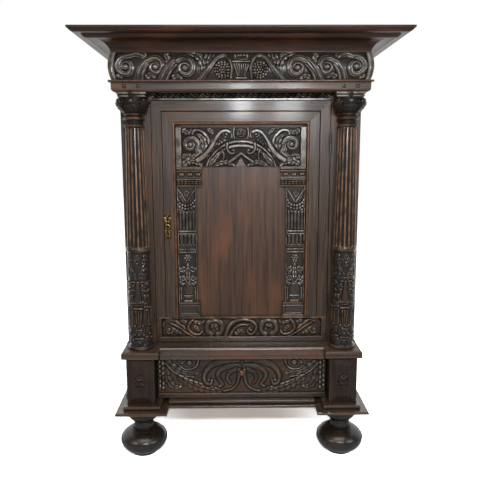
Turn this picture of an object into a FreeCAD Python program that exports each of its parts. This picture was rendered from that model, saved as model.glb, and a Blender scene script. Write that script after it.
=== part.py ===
import FreeCAD, Part
import math
import os

# A carved oak bonnetiere cabinet: one door over one drawer, between columns on pedestals.
# Millimetres, +Z up, front towards -Y, origin on the floor under the middle of the cabinet.

# Heights, from the floor up
foot_height = 203.0
base_thickness = 26.0
pedestal_height = 204.0
cap_thickness = 28.0
door_height = 1003.0
lintel_reveal = 19.0
architrave_height = 34.0
bead_height = 9.0
frieze_height = 100.0
cornice_height = 69.0

# Body
door_width = 722.0
door_gap = 2.5
post_width = 119.0
post_thickness = 45.0
rear_post_size = 50.0
body_depth = 470.0
board_thickness = 22.0
fit_clearance = 0.05

# How far things stand in front of the posts, or overhang what is under them
column_projection = 55.0
column_inset = 64.0
pedestal_width = 112.5
pedestal_projection = 106.0
pedestal_field_rise = 8.0
pedestal_field_border = 6.0
pedestal_bevel_width = 21.0
pedestal_bevel_height = 28.0
cap_overhang = 15.0
cap_inner_overhang = 22.0
cap_fascia_height = 12.0
cap_quirk_height = 2.0
cap_quirk_depth = 3.0
cap_edge_height = 7.0
cap_nose_depth = 7.0
base_overhang = 43.0
base_front_overhang = 53.0
base_inner_overhang = 56.0
base_slab_height = 11.0
base_slab_round = 4.5
base_bead_projection = 3.5
base_bead_setback = 20.0
base_block_bead_setback = 33.0
base_centre_projection = 91.5
waist_projection = 78.0
waist_drop = 50.0
waist_fillet_height = 20.0
waist_fillet_inset = 5.0
waist_edge_height = 16.0
waist_nose_depth = 8.0
waist_side_overhang = 9.0

# Feet
foot_pad_radius = 53.0
foot_pad_height = 11.0
foot_pad_projection = 4.0
foot_notch_radius = 59.0
foot_notch_height = 13.0
bun_radius = 98.0
bun_middle_height = 63.0
bun_shoulder_radius = 90.5
bun_shoulder_height = 81.0
bun_crown_bow = 6.8
foot_collar_radius = 39.0
foot_collar_projection = 2.5
foot_collar_bottom = 104.0
foot_collar_top = 136.0
foot_neck_radius = 31.0
foot_neck_height = 146.0
foot_cup_radius = 65.0
foot_cup_height = 175.0
rear_foot_setback = 12.0
foot_tenon_radius = 15.0
foot_tenon_length = 18.0

# Columns
drum_height = 425.0
drum_bottom_radius = 49.5
drum_top_radius = 47.0
drum_ring_projection = 2.5
drum_base_ring_height = 15.0
drum_top_ring_height = 18.0
shaft_bottom_radius = 46.0
shaft_top_radius = 36.5
flute_count = 16
flute_bottom_radius = 6.2
flute_top_radius = 4.9
flute_set_out = 1.5
flute_end_margin = 6.0
capital_ring_height = 15.0
capital_ring_projection = 4.0
capital_neck_radius = 33.0
capital_neck_height = 14.0
capital_collar_height = 13.0
capital_collar_projection = 9.0
capital_bead_gap = 6.0
capital_bead_height = 8.0
capital_bead_projection = 5.0
bell_height = 59.0
bell_swell_height = 34.0
bell_foot_radius = 43.0
bell_radius = 52.0
volute_radius = 15.5
volute_width = 16.0
volute_set_out = 64.0
volute_drop = 17.0
abacus_height = 18.0
abacus_half_width = 56.0
abacus_setback = 2.0
abacus_step = 3.0
abacus_groove_depth = 6.0
abacus_fillet_height = 6.0
abacus_groove_height = 4.0

# Entablature
architrave_overhang = 10.5
architrave_projection = 108.0
architrave_round = 12.0
entablature_thickness = 46.0
bead_projection = 9.0
frieze_set_back = 3.0
frieze_crown_projection = 10.0
cornice_projection = 122.0
cornice_neck_height = 4.0
cavetto_projection = 60.0
cavetto_height = 38.0
cavetto_bow = 16.0
cornice_lip_width = 4.0
cornice_lip_drop = 1.5
lower_ovolo_width = 17.0
lower_ovolo_height = 12.5
lower_ovolo_bow = 3.5
cornice_soffit_width = 16.0
upper_ovolo_inset = 3.0
upper_ovolo_bow = 4.0
cornice_fillet_height = 7.0
cornice_board_thickness = 16.0
peg_radius = 4.8
peg_length = 30.0
peg_proud = 0.5
peg_recess_radius = 8.3
peg_recess_depth = 4.0
peg_outer_inset = 50.5
peg_spacing = 52.5
peg_rise = 20.0

# Sides, back and inside
side_rail_thickness = 27.0
side_rail_height = 70.0
side_panel_thickness = 12.0
side_panel_set_in = 8.5
panel_tongue = 8.0
side_field_margin = 32.0
side_field_rise = 5.0
side_field_bevel = 16.0
back_board_thickness = 16.0
back_board_count = 5
back_rebate = 12.5
lintel_thickness = 30.0
lintel_height = 31.0
shelf_thickness = 20.0
shelf_clearance = 0.3
shelf_rises = (339.0, 679.0)
batten_width = 20.0
batten_height = 22.0

# Door
door_thickness = 34.0
outer_band_width = 40.0
inner_band_width = 43.0
band_step = 4.0
band_quirk_width = 3.0
band_quirk_depth = 3.0
bottom_rail_height = 106.5
panel_recess = 16.0
panel_thickness = 10.0
panel_bead_width = 10.0
panel_bead_recess = 2.0
carving_margin = 4.0
carving_thickness = 10.0
arch_board_height = 157.0
arch_top_gap = 11.5
arch_notch_width = 22.0
arch_notch_height = 36.0
pilaster_width = 78.0
impost_width = 102.0
impost_height = 81.0
impost_thickness = 14.0
pilaster_base_height = 66.0
pilaster_base_width = 88.0
pilaster_band_rise = 275.0
pilaster_band_height = 14.0
pilaster_band_thickness = 13.0

# Door hinges
hinge_inset = 130.0
hinge_length = 80.0
hinge_leaf_width = 26.0
hinge_leaf_thickness = 1.2
hinge_knuckle_radius = 4.0
hinge_pin_set_out = 4.3
hinge_middle_knuckle = 28.0
hinge_knuckle_gap = 0.3
hinge_pin_radius = 2.0

# Lock and escutcheon
lock_rise = 493.5
lock_case_width = 78.0
lock_case_height = 100.0
lock_case_depth = 24.0
lock_case_edge = 21.0
bolt_height = 24.0
bolt_thickness = 8.0
bolt_length = 60.0
bolt_setback = 2.0
bolt_clearance = 0.3
bolt_behind_post = 2.5
bolt_channel_length = 70.0
strike_width = 32.0
strike_height = 44.0
strike_thickness = 1.5
escutcheon_width = 29.0
escutcheon_height = 98.0
escutcheon_gap = 1.0
escutcheon_thickness = 1.6
escutcheon_relief = 1.6
escutcheon_boss_radius = 10.5
escutcheon_lobe_radius = 9.0
escutcheon_tip_radius = 7.5
escutcheon_lobe_offset = 21.0
escutcheon_tip_offset = 36.0
escutcheon_neck_width = 9.0
keyhole_radius = 3.2
keyhole_slot_width = 3.6
keyhole_slot_length = 12.0

# Drawer
drawer_end_gap = 7.75
drawer_front_projection = 50.0
drawer_front_thickness = 24.0
drawer_gap = 2.0
drawer_side_thickness = 12.0
drawer_side_drop = 8.0
drawer_back_gap = 54.0
drawer_bottom_thickness = 8.0
drawer_bottom_rise = 6.0
drawer_groove = 6.0
drawer_back_drop = 5.0
runner_height = 6.0
runner_width = 20.0
runner_clearance = 0.3
guide_height = 30.0
guide_width = 20.0
guide_clearance = 1.0
knob_drop = 62.0
knob_radius = 13.0
knob_neck_radius = 6.5
knob_neck_length = 8.0
knob_head_length = 17.0
knob_shank_radius = 5.0

# Masks on the pedestals
mask_half_width = 22.0
mask_half_height = 29.7
mask_thickness = 13.0

# Levels worked out from the heights
base_top = foot_height + base_thickness
cap_bottom = base_top + pedestal_height
waist_top = cap_bottom + cap_thickness
door_bottom = waist_top + door_gap
door_top = door_bottom + door_height
lintel_bottom = door_top + door_gap
entablature_bottom = lintel_bottom + lintel_reveal
bead_bottom = entablature_bottom + architrave_height
frieze_bottom = bead_bottom + bead_height
cornice_bottom = frieze_bottom + frieze_height
cabinet_top = cornice_bottom + cornice_height
capital_neck_top = capital_ring_height + capital_neck_height
capital_collar_top = capital_neck_top + capital_collar_height
capital_bead_bottom = capital_collar_top + capital_bead_gap
capital_bead_top = capital_bead_bottom + capital_bead_height
bell_top = capital_bead_top + bell_height
capital_height = bell_top + abacus_height

# Half widths and depths worked out from the body
door_half = door_width / 2
opening_half = door_half + door_gap
body_half = opening_half + post_width
column_x = body_half - column_inset
entablature_half = body_half + architrave_overhang
entablature_inner_half = entablature_half - entablature_thickness
total_depth = architrave_projection + cornice_projection + body_depth
face_y = total_depth / 2 - body_depth
back_y = total_depth / 2
post_back_y = face_y + post_thickness
rear_post_y = back_y - rear_post_size
back_board_y = back_y - back_board_thickness
rear_post_inner = body_half - rear_post_size
column_y = face_y - column_projection
pedestal_y = face_y - pedestal_projection
architrave_y = face_y - architrave_projection
rail_inner = body_half - side_rail_thickness
base_half = column_x + pedestal_width / 2 + base_overhang
block_inner = column_x - pedestal_width / 2 - base_inner_overhang
cap_inner = column_x - pedestal_width / 2 - cap_inner_overhang
drawer_half = column_x - pedestal_width / 2 - drawer_end_gap
stile_width = outer_band_width + inner_band_width
panel_half = door_half - stile_width
panel_bottom = door_bottom + bottom_rail_height
panel_top = door_top - stile_width
panel_y = face_y + panel_recess
carving_half = panel_half - panel_bead_width - carving_margin
shelf_levels = [waist_top + rise for rise in shelf_rises]

V = FreeCAD.Vector
UP = V(0, 0, 1)
nodes = {}


def box(x0, x1, y0, y1, z0, z1):
    """A box between two corners, given as pairs along each axis."""
    return Part.makeBox(x1 - x0, y1 - y0, z1 - z0, V(x0, y0, z0))


def mirrored(shape):
    """The same shape on the other side of the cabinet."""
    return shape.mirror(V(0, 0, 0), V(1, 0, 0))


def pair(shape):
    """The shape and its mirror image, as separate solids."""
    return [shape, mirrored(shape)]


def joined(shapes):
    """One solid made of touching shapes."""
    return shapes[0].multiFuse(shapes[1:]).removeSplitter()


def bowed(start, end, bow):
    """An arc from start to end, given as its middle and its end; it bows to the left of the way."""
    across, up = end[0] - start[0], end[1] - start[1]
    length = math.hypot(across, up)
    middle_across = (start[0] + end[0]) / 2 - bow * up / length
    middle_up = (start[1] + end[1]) / 2 + bow * across / length
    return (middle_across, middle_up), end


def outline_face(entries, place):
    """A flat face inside an outline. An entry is a point, or an arc's middle and end points."""
    edges = []
    here = place(*entries[0])
    for entry in entries[1:] + entries[:1]:
        if isinstance(entry[0], tuple):
            there = place(*entry[1])
            edges.append(Part.Arc(here, place(*entry[0]), there).toShape())
        else:
            there = place(*entry)
            edges.append(Part.LineSegment(here, there).toShape())
        here = there
    return Part.Face(Part.Wire(edges))


def turned(entries, x=0.0, y=0.0, z=0.0):
    """A lathe turning about a vertical axis, from radius and height pairs."""
    face = outline_face(entries, lambda radius, height: V(x + radius, y, z + height))
    return face.revolve(V(x, y, z), UP, 360)


def half_round(inner, bulge, low, high):
    """Outline entries of a half round ring that stands out from a turning."""
    return [(inner, low), ((inner + bulge, (low + high) / 2), (inner, high))]


def tapered(low, high, z0, z1):
    """A block whose plan runs from one rectangle to another. Each is x0, x1, y0, y1."""
    wires = []
    for plan, z in ((low, z0), (high, z1)):
        x0, x1, y0, y1 = plan
        corners = [V(x0, y0, z), V(x1, y0, z), V(x1, y1, z), V(x0, y1, z), V(x0, y0, z)]
        wires.append(Part.makePolygon(corners))
    return Part.makeLoft(wires, True, True)


def nose(low, high, depth, steps=4):
    """Heights and insets of a quarter round edge that starts upright and ends level."""
    points = []
    for step in range(steps + 1):
        angle = math.pi / 2 * step / steps
        points.append((low + (high - low) * math.sin(angle), depth * (1 - math.cos(angle))))
    return points


def moulded(plan_at, levels):
    """A slab whose free edges follow a profile of heights and insets, from the bottom up.

    Two entries with the same height make a step.
    """
    parts = []
    for (z0, inset0), (z1, inset1) in zip(levels[:-1], levels[1:]):
        if z1 > z0:
            parts.append(tapered(plan_at(inset0), plan_at(inset1), z0, z1))
    return joined(parts)


def raised_field(near, far):
    """A bevelled field between two rectangles of four corner points each."""
    wires = [Part.makePolygon(corners + corners[:1]) for corners in (near, far)]
    return Part.makeLoft(wires, True, True)


def plan_prism(points, z0, z1):
    """A vertical prism over a polygon in plan."""
    corners = [V(x, y, z0) for x, y in points]
    return Part.Face(Part.makePolygon(corners + corners[:1])).extrude(V(0, 0, z1 - z0))


def crown_run(profile, reach, z0, z1):
    """The front and two side lengths of an entablature moulding, mitred at the front corners.

    The profile holds projections from the architrave's face and heights above z0.
    """
    half, front, depth = entablature_half, architrave_y, entablature_thickness
    inner_x, inner_y = half - depth, front + depth
    outer_x, outer_y = half + reach, front - reach
    front_face = outline_face(profile, lambda out, height: V(-outer_x, front - out, z0 + height))
    front_bar = front_face.extrude(V(2 * outer_x, 0, 0))
    front_plan = [(-inner_x, inner_y), (-outer_x, outer_y), (outer_x, outer_y), (inner_x, inner_y)]
    side_face = outline_face(profile, lambda out, height: V(half + out, outer_y, z0 + height))
    side_bar = side_face.extrude(V(0, back_y - outer_y, 0))
    side_plan = [(inner_x, inner_y), (outer_x, outer_y), (outer_x, back_y), (inner_x, back_y)]
    front_piece = front_bar.common(plan_prism(front_plan, z0, z1))
    side_piece = side_bar.common(plan_prism(side_plan, z0, z1))
    return front_piece, side_piece


def upright_arc(bulge_radius, bulge_height, end_radius, end_height):
    """Middle point of an arc that leaves a bulge's widest point upright and ends at a given point."""
    across = bulge_radius - end_radius
    up = end_height - bulge_height
    radius = (across ** 2 + up ** 2) / (2 * across)
    centre = bulge_radius - radius
    half_turn = math.atan2(up, end_radius - centre) / 2
    return centre + radius * math.cos(half_turn), bulge_height + radius * math.sin(half_turn)


def foot(x, y):
    """A turned bun foot: pad, bun, collar, neck and cup, with a tenon that enters the base."""
    notch = (foot_notch_radius, foot_notch_height)
    shoulder = (bun_shoulder_radius, bun_shoulder_height)
    collar = half_round(foot_collar_radius, foot_collar_projection, foot_collar_bottom, foot_collar_top)
    pad_middle = (foot_pad_radius + foot_pad_projection, foot_pad_height / 2)
    neck = (foot_neck_radius, foot_neck_height)
    outline = [
        (0, 0),
        (foot_pad_radius, 0),
        (pad_middle, (foot_pad_radius, foot_pad_height)),
        notch,
        (upright_arc(bun_radius, bun_middle_height, *notch), (bun_radius, bun_middle_height)),
        (upright_arc(bun_radius, bun_middle_height, *shoulder), shoulder),
        bowed(shoulder, collar[0], -bun_crown_bow),
    ]
    outline += collar[1:]
    outline += [
        neck,
        (upright_arc(foot_cup_radius, foot_cup_height, *neck), (foot_cup_radius, foot_cup_height)),
        (foot_cup_radius, foot_height),
        (foot_tenon_radius, foot_height),
        (foot_tenon_radius, foot_height + foot_tenon_length),
        (0, foot_height + foot_tenon_length),
    ]
    return turned(outline, x, y)


def foot_socket(x, y):
    """The hole in the base that a foot's tenon enters."""
    return Part.makeCylinder(foot_tenon_radius + fit_clearance, foot_tenon_length, V(x, y, foot_height))


def make_feet():
    rear_y = back_y - rear_foot_setback - bun_radius
    nodes["feet_front"] = pair(foot(column_x, column_y))
    nodes["feet_rear"] = pair(foot(column_x, rear_y))
    return rear_y


def base_levels(setback, steps=6):
    """Profile of the base: a thin slab with a rounded edge, and a half round bead set back on it."""
    slab_top = foot_height + base_slab_height
    levels = [(foot_height, 0)] + nose(slab_top - base_slab_round, slab_top, base_slab_round)
    for step in range(steps + 1):
        angle = math.pi * step / steps
        height = slab_top + (base_top - slab_top) * (1 - math.cos(angle)) / 2
        levels.append((height, setback - base_bead_projection * math.sin(angle)))
    return levels


def make_base(rear_foot_y):
    board = box(-body_half, body_half, face_y, back_y, foot_height, base_top)
    for x in (-column_x, column_x):
        board = board.cut(foot_socket(x, rear_foot_y))
    nodes["base_board"] = [board]

    levels = base_levels(base_bead_setback)
    centre_y = face_y - base_centre_projection
    block_y = pedestal_y - base_front_overhang
    centre = moulded(lambda inset: (-block_inner, block_inner, centre_y + inset, face_y), levels)
    block = moulded(lambda inset: (block_inner + inset, base_half - inset, block_y + inset, face_y),
                    base_levels(base_block_bead_setback))
    block = block.cut(foot_socket(column_x, column_y))
    side = moulded(lambda inset: (body_half, base_half - inset, face_y, back_y), levels)
    nodes["base_moulding"] = [centre] + pair(side)
    nodes["base_blocks"] = pair(block)


def make_pedestals():
    half = pedestal_width / 2
    x0, x1 = column_x - half, column_x + half
    die = box(x0, x1, pedestal_y, face_y, base_top, cap_bottom)
    border = pedestal_field_border
    near_x = (x0 + border, x1 - border)
    near_z = (base_top + border, cap_bottom - border)
    far_x = (near_x[0] + pedestal_bevel_width, near_x[1] - pedestal_bevel_width)
    far_z = (near_z[0] + pedestal_bevel_height, near_z[1] - pedestal_bevel_height)
    field_y = pedestal_y - pedestal_field_rise
    near = [V(x, pedestal_y, z) for x, z in corners_of(near_x, near_z)]
    far = [V(x, field_y, z) for x, z in corners_of(far_x, far_z)]
    pedestal = joined([die, raised_field(near, far)])
    nodes["pedestal_right"] = [pedestal]
    nodes["pedestal_left"] = [mirrored(pedestal)]

    outer, front = x1 + cap_overhang, pedestal_y - pedestal_field_rise - cap_overhang
    cap = moulded(lambda inset: (cap_inner + inset, outer - inset, front + inset, face_y),
                  cap_levels(cap_quirk_depth, cap_nose_depth))
    nodes["pedestal_cap_right"] = [cap]
    nodes["pedestal_cap_left"] = [mirrored(cap)]

    mask = pedestal_mask(column_x, field_y, (base_top + cap_bottom) / 2)
    nodes["pedestal_masks"] = pair(mask)


def cap_levels(quirk_depth, nose_depth):
    """Profile of a pedestal cap: a plain fascia, a narrow groove and an edge with a rounded top."""
    fascia_top = cap_bottom + cap_fascia_height
    edge_bottom = fascia_top + cap_quirk_height
    edge_top = edge_bottom + cap_edge_height
    fascia = [(cap_bottom, 0), (fascia_top, 0)]
    quirk = [(fascia_top, quirk_depth), (edge_bottom, quirk_depth), (edge_bottom, 0)]
    return fascia + quirk + nose(edge_top, waist_top, nose_depth)


def corners_of(across, up):
    """The four corners of a rectangle, in order round it."""
    return [(across[0], up[0]), (across[1], up[0]), (across[1], up[1]), (across[0], up[1])]


def pedestal_mask(x, y, z):
    """A low upright oval boss, the body of a carved mask, seated on a vertical face."""
    sphere_radius = (mask_half_width ** 2 + mask_thickness ** 2) / (2 * mask_thickness)
    ball = Part.makeSphere(sphere_radius, V(0, sphere_radius - mask_thickness, 0))
    reach = 2 * sphere_radius
    boss = ball.common(box(-reach, reach, -reach, 0, -reach, reach))
    stretch = FreeCAD.Matrix()
    stretch.scale(V(1, 1, mask_half_height / mask_half_width))
    boss = boss.transformGeometry(stretch)
    boss.translate(V(x, y, z))
    return boss


def make_waist():
    low = waist_top - waist_drop
    edge_bottom = low + waist_fillet_height
    edge_top = edge_bottom + waist_edge_height
    front = face_y - waist_projection
    fillet = [(low, waist_fillet_inset), (edge_bottom, waist_fillet_inset), (edge_bottom, 0)]
    centre = moulded(lambda inset: (-cap_inner, cap_inner, front + inset, face_y),
                     fillet + nose(edge_top, waist_top, waist_nose_depth))
    outer = body_half + waist_side_overhang
    side = moulded(lambda inset: (body_half, outer - inset, face_y, back_y),
                   cap_levels(waist_side_overhang / 2, waist_side_overhang / 2))
    nodes["waist_moulding"] = [centre] + pair(side)

    bottom = waist_top - board_thickness
    nodes["waist_board"] = [joined([
        box(-opening_half, opening_half, face_y, post_back_y, bottom, waist_top),
        box(-rail_inner, rail_inner, post_back_y, rear_post_y, bottom, waist_top),
        box(-rear_post_inner, rear_post_inner, rear_post_y, back_board_y, bottom, waist_top),
    ])]


def side_panel(low, high):
    """A side panel with a raised field, tongued into the rails and posts round it."""
    outer = body_half - side_panel_set_in
    y0, y1 = post_back_y - panel_tongue, rear_post_y + panel_tongue
    z0, z1 = low - panel_tongue, high + panel_tongue
    board = box(outer - side_panel_thickness, outer, y0, y1, z0, z1)
    near_y = (post_back_y + side_field_margin, rear_post_y - side_field_margin)
    near_z = (low + side_field_margin, high - side_field_margin)
    far_y = (near_y[0] + side_field_bevel, near_y[1] - side_field_bevel)
    far_z = (near_z[0] + side_field_bevel, near_z[1] - side_field_bevel)
    near = [V(outer, y, z) for y, z in corners_of(near_y, near_z)]
    far = [V(outer + side_field_rise, y, z) for y, z in corners_of(far_y, far_z)]
    return joined([board, raised_field(near, far)])


def make_sides():
    upper_low = waist_top + side_rail_height / 2
    upper_high = entablature_bottom - side_rail_height
    middle = (upper_low + upper_high) / 2
    rail_spans = [
        (base_top, base_top + side_rail_height),
        (waist_top - side_rail_height / 2, upper_low),
        (middle - side_rail_height / 2, middle + side_rail_height / 2),
        (upper_high, entablature_bottom),
    ]
    panels = []
    for below, above in zip(rail_spans[:-1], rail_spans[1:]):
        panels.append(side_panel(below[1], above[0]))
    rails = []
    for low, high in rail_spans:
        rail = box(rail_inner, body_half, post_back_y, rear_post_y, low, high)
        rails.append(rail.cut(Part.makeCompound(panels)))
    nodes["side_rails_right"] = rails
    nodes["side_rails_left"] = [mirrored(rail) for rail in rails]
    nodes["side_panels_right"] = panels
    nodes["side_panels_left"] = [mirrored(panel) for panel in panels]

    grooves = Part.makeCompound(panels)
    front = box(opening_half, body_half, face_y, post_back_y, base_top, entablature_bottom)
    rear = box(rear_post_inner, body_half, rear_post_y, back_y, base_top, entablature_bottom)
    rebate = box(rear_post_inner, rear_post_inner + back_rebate, back_board_y, back_y,
                 base_top, entablature_bottom)
    front = front.cut(grooves)
    rear = rear.cut(rebate).cut(grooves)
    nodes["post_front_right"] = [front]
    nodes["post_front_left"] = [mirrored(front)]
    nodes["post_rear_right"] = [rear]
    nodes["post_rear_left"] = [mirrored(rear)]


def make_back():
    half = rear_post_inner + back_rebate
    width = 2 * half / back_board_count
    boards = []
    for index in range(back_board_count):
        left = -half + index * width
        boards.append(box(left, left + width, back_board_y, back_y, base_top, bead_bottom))
    nodes["back_boards"] = boards


def make_inside():
    nodes["top_board"] = [box(-entablature_inner_half, entablature_inner_half,
                              architrave_y + entablature_thickness, back_board_y,
                              bead_bottom - board_thickness, bead_bottom)]
    nodes["lintel"] = [box(-opening_half, opening_half, face_y, face_y + lintel_thickness,
                           lintel_bottom, lintel_bottom + lintel_height)]
    shelves, battens = [], []
    for level in shelf_levels:
        half = rail_inner - shelf_clearance
        front, rear = post_back_y + shelf_clearance, rear_post_y - shelf_clearance
        shelves.append(box(-half, half, front, rear, level, level + shelf_thickness))
        batten = box(rail_inner - batten_width, rail_inner, post_back_y, rear_post_y,
                     level - batten_height, level)
        battens += pair(batten)
    nodes["shelves"] = shelves
    nodes["shelf_battens"] = battens
    runner = box(drawer_half - runner_width, drawer_half, face_y, back_board_y,
                 base_top, base_top + runner_height)
    guide_inner = drawer_half + guide_clearance
    guide = box(guide_inner, guide_inner + guide_width, post_back_y, rear_post_y,
                base_top, base_top + guide_height)
    nodes["drawer_runners"] = pair(runner) + pair(guide)


def column_drum(x):
    """The carved lower part of a column, between a base ring and a top ring."""
    top_ring = drum_height - drum_top_ring_height
    outline = [(0, 0)]
    outline += half_round(drum_bottom_radius, drum_ring_projection, 0, drum_base_ring_height)
    outline += half_round(drum_top_radius, drum_ring_projection, top_ring, drum_height)
    outline += [(0, drum_height)]
    return turned(outline, x, column_y, waist_top)


def column_shaft(x):
    """The tapering shaft with its round ended flutes."""
    low = waist_top + drum_height
    height = entablature_bottom - capital_height - low
    core = turned([(0, 0), (shaft_bottom_radius, 0), (shaft_top_radius, height), (0, height)],
                  x, column_y, low)
    taper = (shaft_top_radius - shaft_bottom_radius) / height
    start, end = flute_end_margin, height - flute_end_margin
    start_out = shaft_bottom_radius + taper * start + flute_set_out
    end_out = shaft_bottom_radius + taper * end + flute_set_out
    bottom, top = V(start_out, 0, start), V(end_out, 0, end)
    run = top - bottom
    cone = Part.makeCone(flute_bottom_radius, flute_top_radius, run.Length, bottom, run)
    groove = joined([
        cone,
        Part.makeSphere(flute_bottom_radius, bottom),
        Part.makeSphere(flute_top_radius, top),
    ])
    grooves = []
    for index in range(flute_count):
        copy = groove.copy()
        copy.rotate(V(0, 0, 0), UP, 360.0 * index / flute_count)
        copy.translate(V(x, column_y, low))
        grooves.append(copy)
    return core.cut(Part.makeCompound(grooves))


def front_volute(x, z, degrees):
    """A short drum under a front corner of the abacus, which carries the corner scroll."""
    angle = math.radians(degrees)
    out, along = V(math.cos(angle), math.sin(angle), 0), V(-math.sin(angle), math.cos(angle), 0)
    middle = V(x, column_y, z) + out * volute_set_out
    return Part.makeCylinder(volute_radius, volute_width, middle - along * (volute_width / 2), along)


def capital(x):
    """Rings, neck and leaf bell of a capital, with two front volutes under a grooved abacus."""
    neck = capital_neck_radius
    swell = (bell_radius, capital_bead_top + bell_swell_height)
    foot_point = (bell_foot_radius, capital_bead_top)
    outline = [(0, 0)]
    outline += half_round(shaft_top_radius, capital_ring_projection, 0, capital_ring_height)
    outline += [(neck, capital_ring_height)]
    outline += half_round(neck, capital_collar_projection, capital_neck_top, capital_collar_top)
    outline += half_round(neck, capital_bead_projection, capital_bead_bottom, capital_bead_top)
    outline += [foot_point, (upright_arc(*swell, *foot_point), swell), (bell_radius, bell_top), (0, bell_top)]
    low = entablature_bottom - capital_height
    abacus_low = low + bell_top
    parts = [turned(outline, x, column_y, low)]
    for degrees in (-135, -45):
        parts.append(front_volute(x, abacus_low - volute_drop, degrees))
    groove_low = abacus_low + abacus_fillet_height
    groove_high = groove_low + abacus_groove_height
    front = architrave_y + abacus_setback
    for inset, z0, z1 in ((abacus_step, abacus_low, groove_low),
                          (abacus_groove_depth, groove_low, groove_high),
                          (0, groove_high, entablature_bottom)):
        half = abacus_half_width - inset
        parts.append(box(x - half, x + half, front + inset, face_y, z0, z1))
    return joined(parts)


def make_columns():
    for side, x in (("right", column_x), ("left", -column_x)):
        nodes["column_drum_" + side] = [column_drum(x)]
        nodes["column_shaft_" + side] = [column_shaft(x)]
        nodes["capital_" + side] = [capital(x)]


def make_architrave():
    depth = entablature_thickness
    round_off = architrave_round * (1 - math.sqrt(0.5))
    profile = [
        (-depth, 0),
        (-architrave_round, 0),
        ((-round_off, round_off), (0, architrave_round)),
        (0, architrave_height),
        (-depth, architrave_height),
    ]
    front, side = crown_run(profile, 0.0, entablature_bottom, bead_bottom)
    pegs = []
    for x in (entablature_half - peg_outer_inset, entablature_half - peg_outer_inset - peg_spacing):
        level = entablature_bottom + peg_rise
        start = V(x, architrave_y - peg_proud, level)
        hole = Part.makeCylinder(peg_radius + fit_clearance, peg_length, start, V(0, 1, 0))
        recess = Part.makeCylinder(peg_recess_radius, peg_proud + peg_recess_depth, start, V(0, 1, 0))
        hole = hole.fuse(recess)
        front = front.cut(hole).cut(mirrored(hole))
        pegs += pair(Part.makeCylinder(peg_radius, peg_length, start, V(0, 1, 0)))
    nodes["architrave"] = [front] + pair(side)
    nodes["architrave_pegs"] = pegs


def make_bead():
    depth, half_height = entablature_thickness, bead_height / 2
    flat = bead_projection - half_height
    profile = [
        (-depth, 0),
        (flat, 0),
        ((bead_projection, half_height), (flat, bead_height)),
        (-depth, bead_height),
    ]
    front, side = crown_run(profile, bead_projection, bead_bottom, frieze_bottom)
    nodes["bead_moulding"] = [front] + pair(side)


def make_frieze():
    depth, neck = entablature_thickness, -frieze_set_back
    crest = (neck + frieze_crown_projection, frieze_height / 2)
    profile = [(-depth, 0), (neck, 0), (crest, (neck, frieze_height)), (-depth, frieze_height)]
    front, side = crown_run(profile, frieze_crown_projection, frieze_bottom, cornice_bottom)
    nodes["frieze_front"] = [front]
    nodes["frieze_sides"] = pair(side)


def make_cornice():
    depth, neck = entablature_thickness, -frieze_set_back
    fillet_low = cornice_height - cornice_fillet_height
    cavetto_foot = (neck, cornice_neck_height)
    cavetto_end = (cavetto_projection, cavetto_height)
    lip = (cavetto_projection + cornice_lip_width, cavetto_height - cornice_lip_drop)
    lower_end = (lip[0] + lower_ovolo_width, lip[1] + lower_ovolo_height)
    upper_foot = (lower_end[0] + cornice_soffit_width, lower_end[1])
    upper_end = (cornice_projection - upper_ovolo_inset, fillet_low)
    profile = [
        (-depth, 0),
        (neck, 0),
        cavetto_foot,
        bowed(cavetto_foot, cavetto_end, cavetto_bow),
        lip,
        bowed(lip, lower_end, -lower_ovolo_bow),
        upper_foot,
        bowed(upper_foot, upper_end, -upper_ovolo_bow),
        (cornice_projection, fillet_low),
        (cornice_projection, cornice_height),
        (-depth, cornice_height),
    ]
    front, side = crown_run(profile, cornice_projection, cornice_bottom, cabinet_top)
    nodes["cornice"] = [front] + pair(side)
    half, front_y = entablature_inner_half, architrave_y + depth
    top_low = cabinet_top - cornice_board_thickness
    nodes["cornice_boards"] = [
        box(-half, half, front_y, back_y, top_low, cabinet_top),
        box(-half, half, back_board_y, back_y, bead_bottom, top_low),
    ]


def band_profile():
    """Section of a stile or the top rail, with a quirk between its two bands.

    Each point is a distance in from the door's edge, and a depth.
    """
    return [
        (0, 0),
        (outer_band_width, 0),
        (outer_band_width, band_step + band_quirk_depth),
        (outer_band_width + band_quirk_width, band_step + band_quirk_depth),
        (outer_band_width + band_quirk_width, band_step),
        (stile_width, band_step),
        (stile_width, door_thickness),
        (0, door_thickness),
    ]


def make_door_frame(panel):
    stile_face = outline_face(band_profile(), lambda inward, back: V(door_half - inward, face_y + back,
                                                                     panel_bottom))
    stile = stile_face.extrude(V(0, 0, door_top - panel_bottom))
    rail_face = outline_face(band_profile(), lambda inward, back: V(-door_half, face_y + back,
                                                                    door_top - inward))
    rail = rail_face.extrude(V(door_width, 0, 0))
    mitre = [
        V(-door_half, face_y, door_top),
        V(door_half, face_y, door_top),
        V(panel_half, face_y, panel_top),
        V(-panel_half, face_y, panel_top),
    ]
    wedge = Part.Face(Part.makePolygon(mitre + mitre[:1])).extrude(V(0, door_thickness, 0))
    rail = rail.common(wedge).cut(panel)
    stile = stile.cut(wedge).cut(panel)
    nodes["door_stile_right"] = [stile]
    nodes["door_stile_left"] = [mirrored(stile).cut(keyhole(face_y, face_y + door_thickness))]
    nodes["door_rail_top"] = [rail]
    bottom = box(-door_half, door_half, face_y, face_y + door_thickness, door_bottom, panel_bottom)
    nodes["door_rail_bottom"] = [bottom.cut(panel)]


def make_door_panel():
    half = panel_half + panel_tongue
    panel = box(-half, half, panel_y, panel_y + panel_thickness,
                panel_bottom - panel_tongue, panel_top + panel_tongue)
    nodes["door_panel"] = [panel]
    return panel


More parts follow.
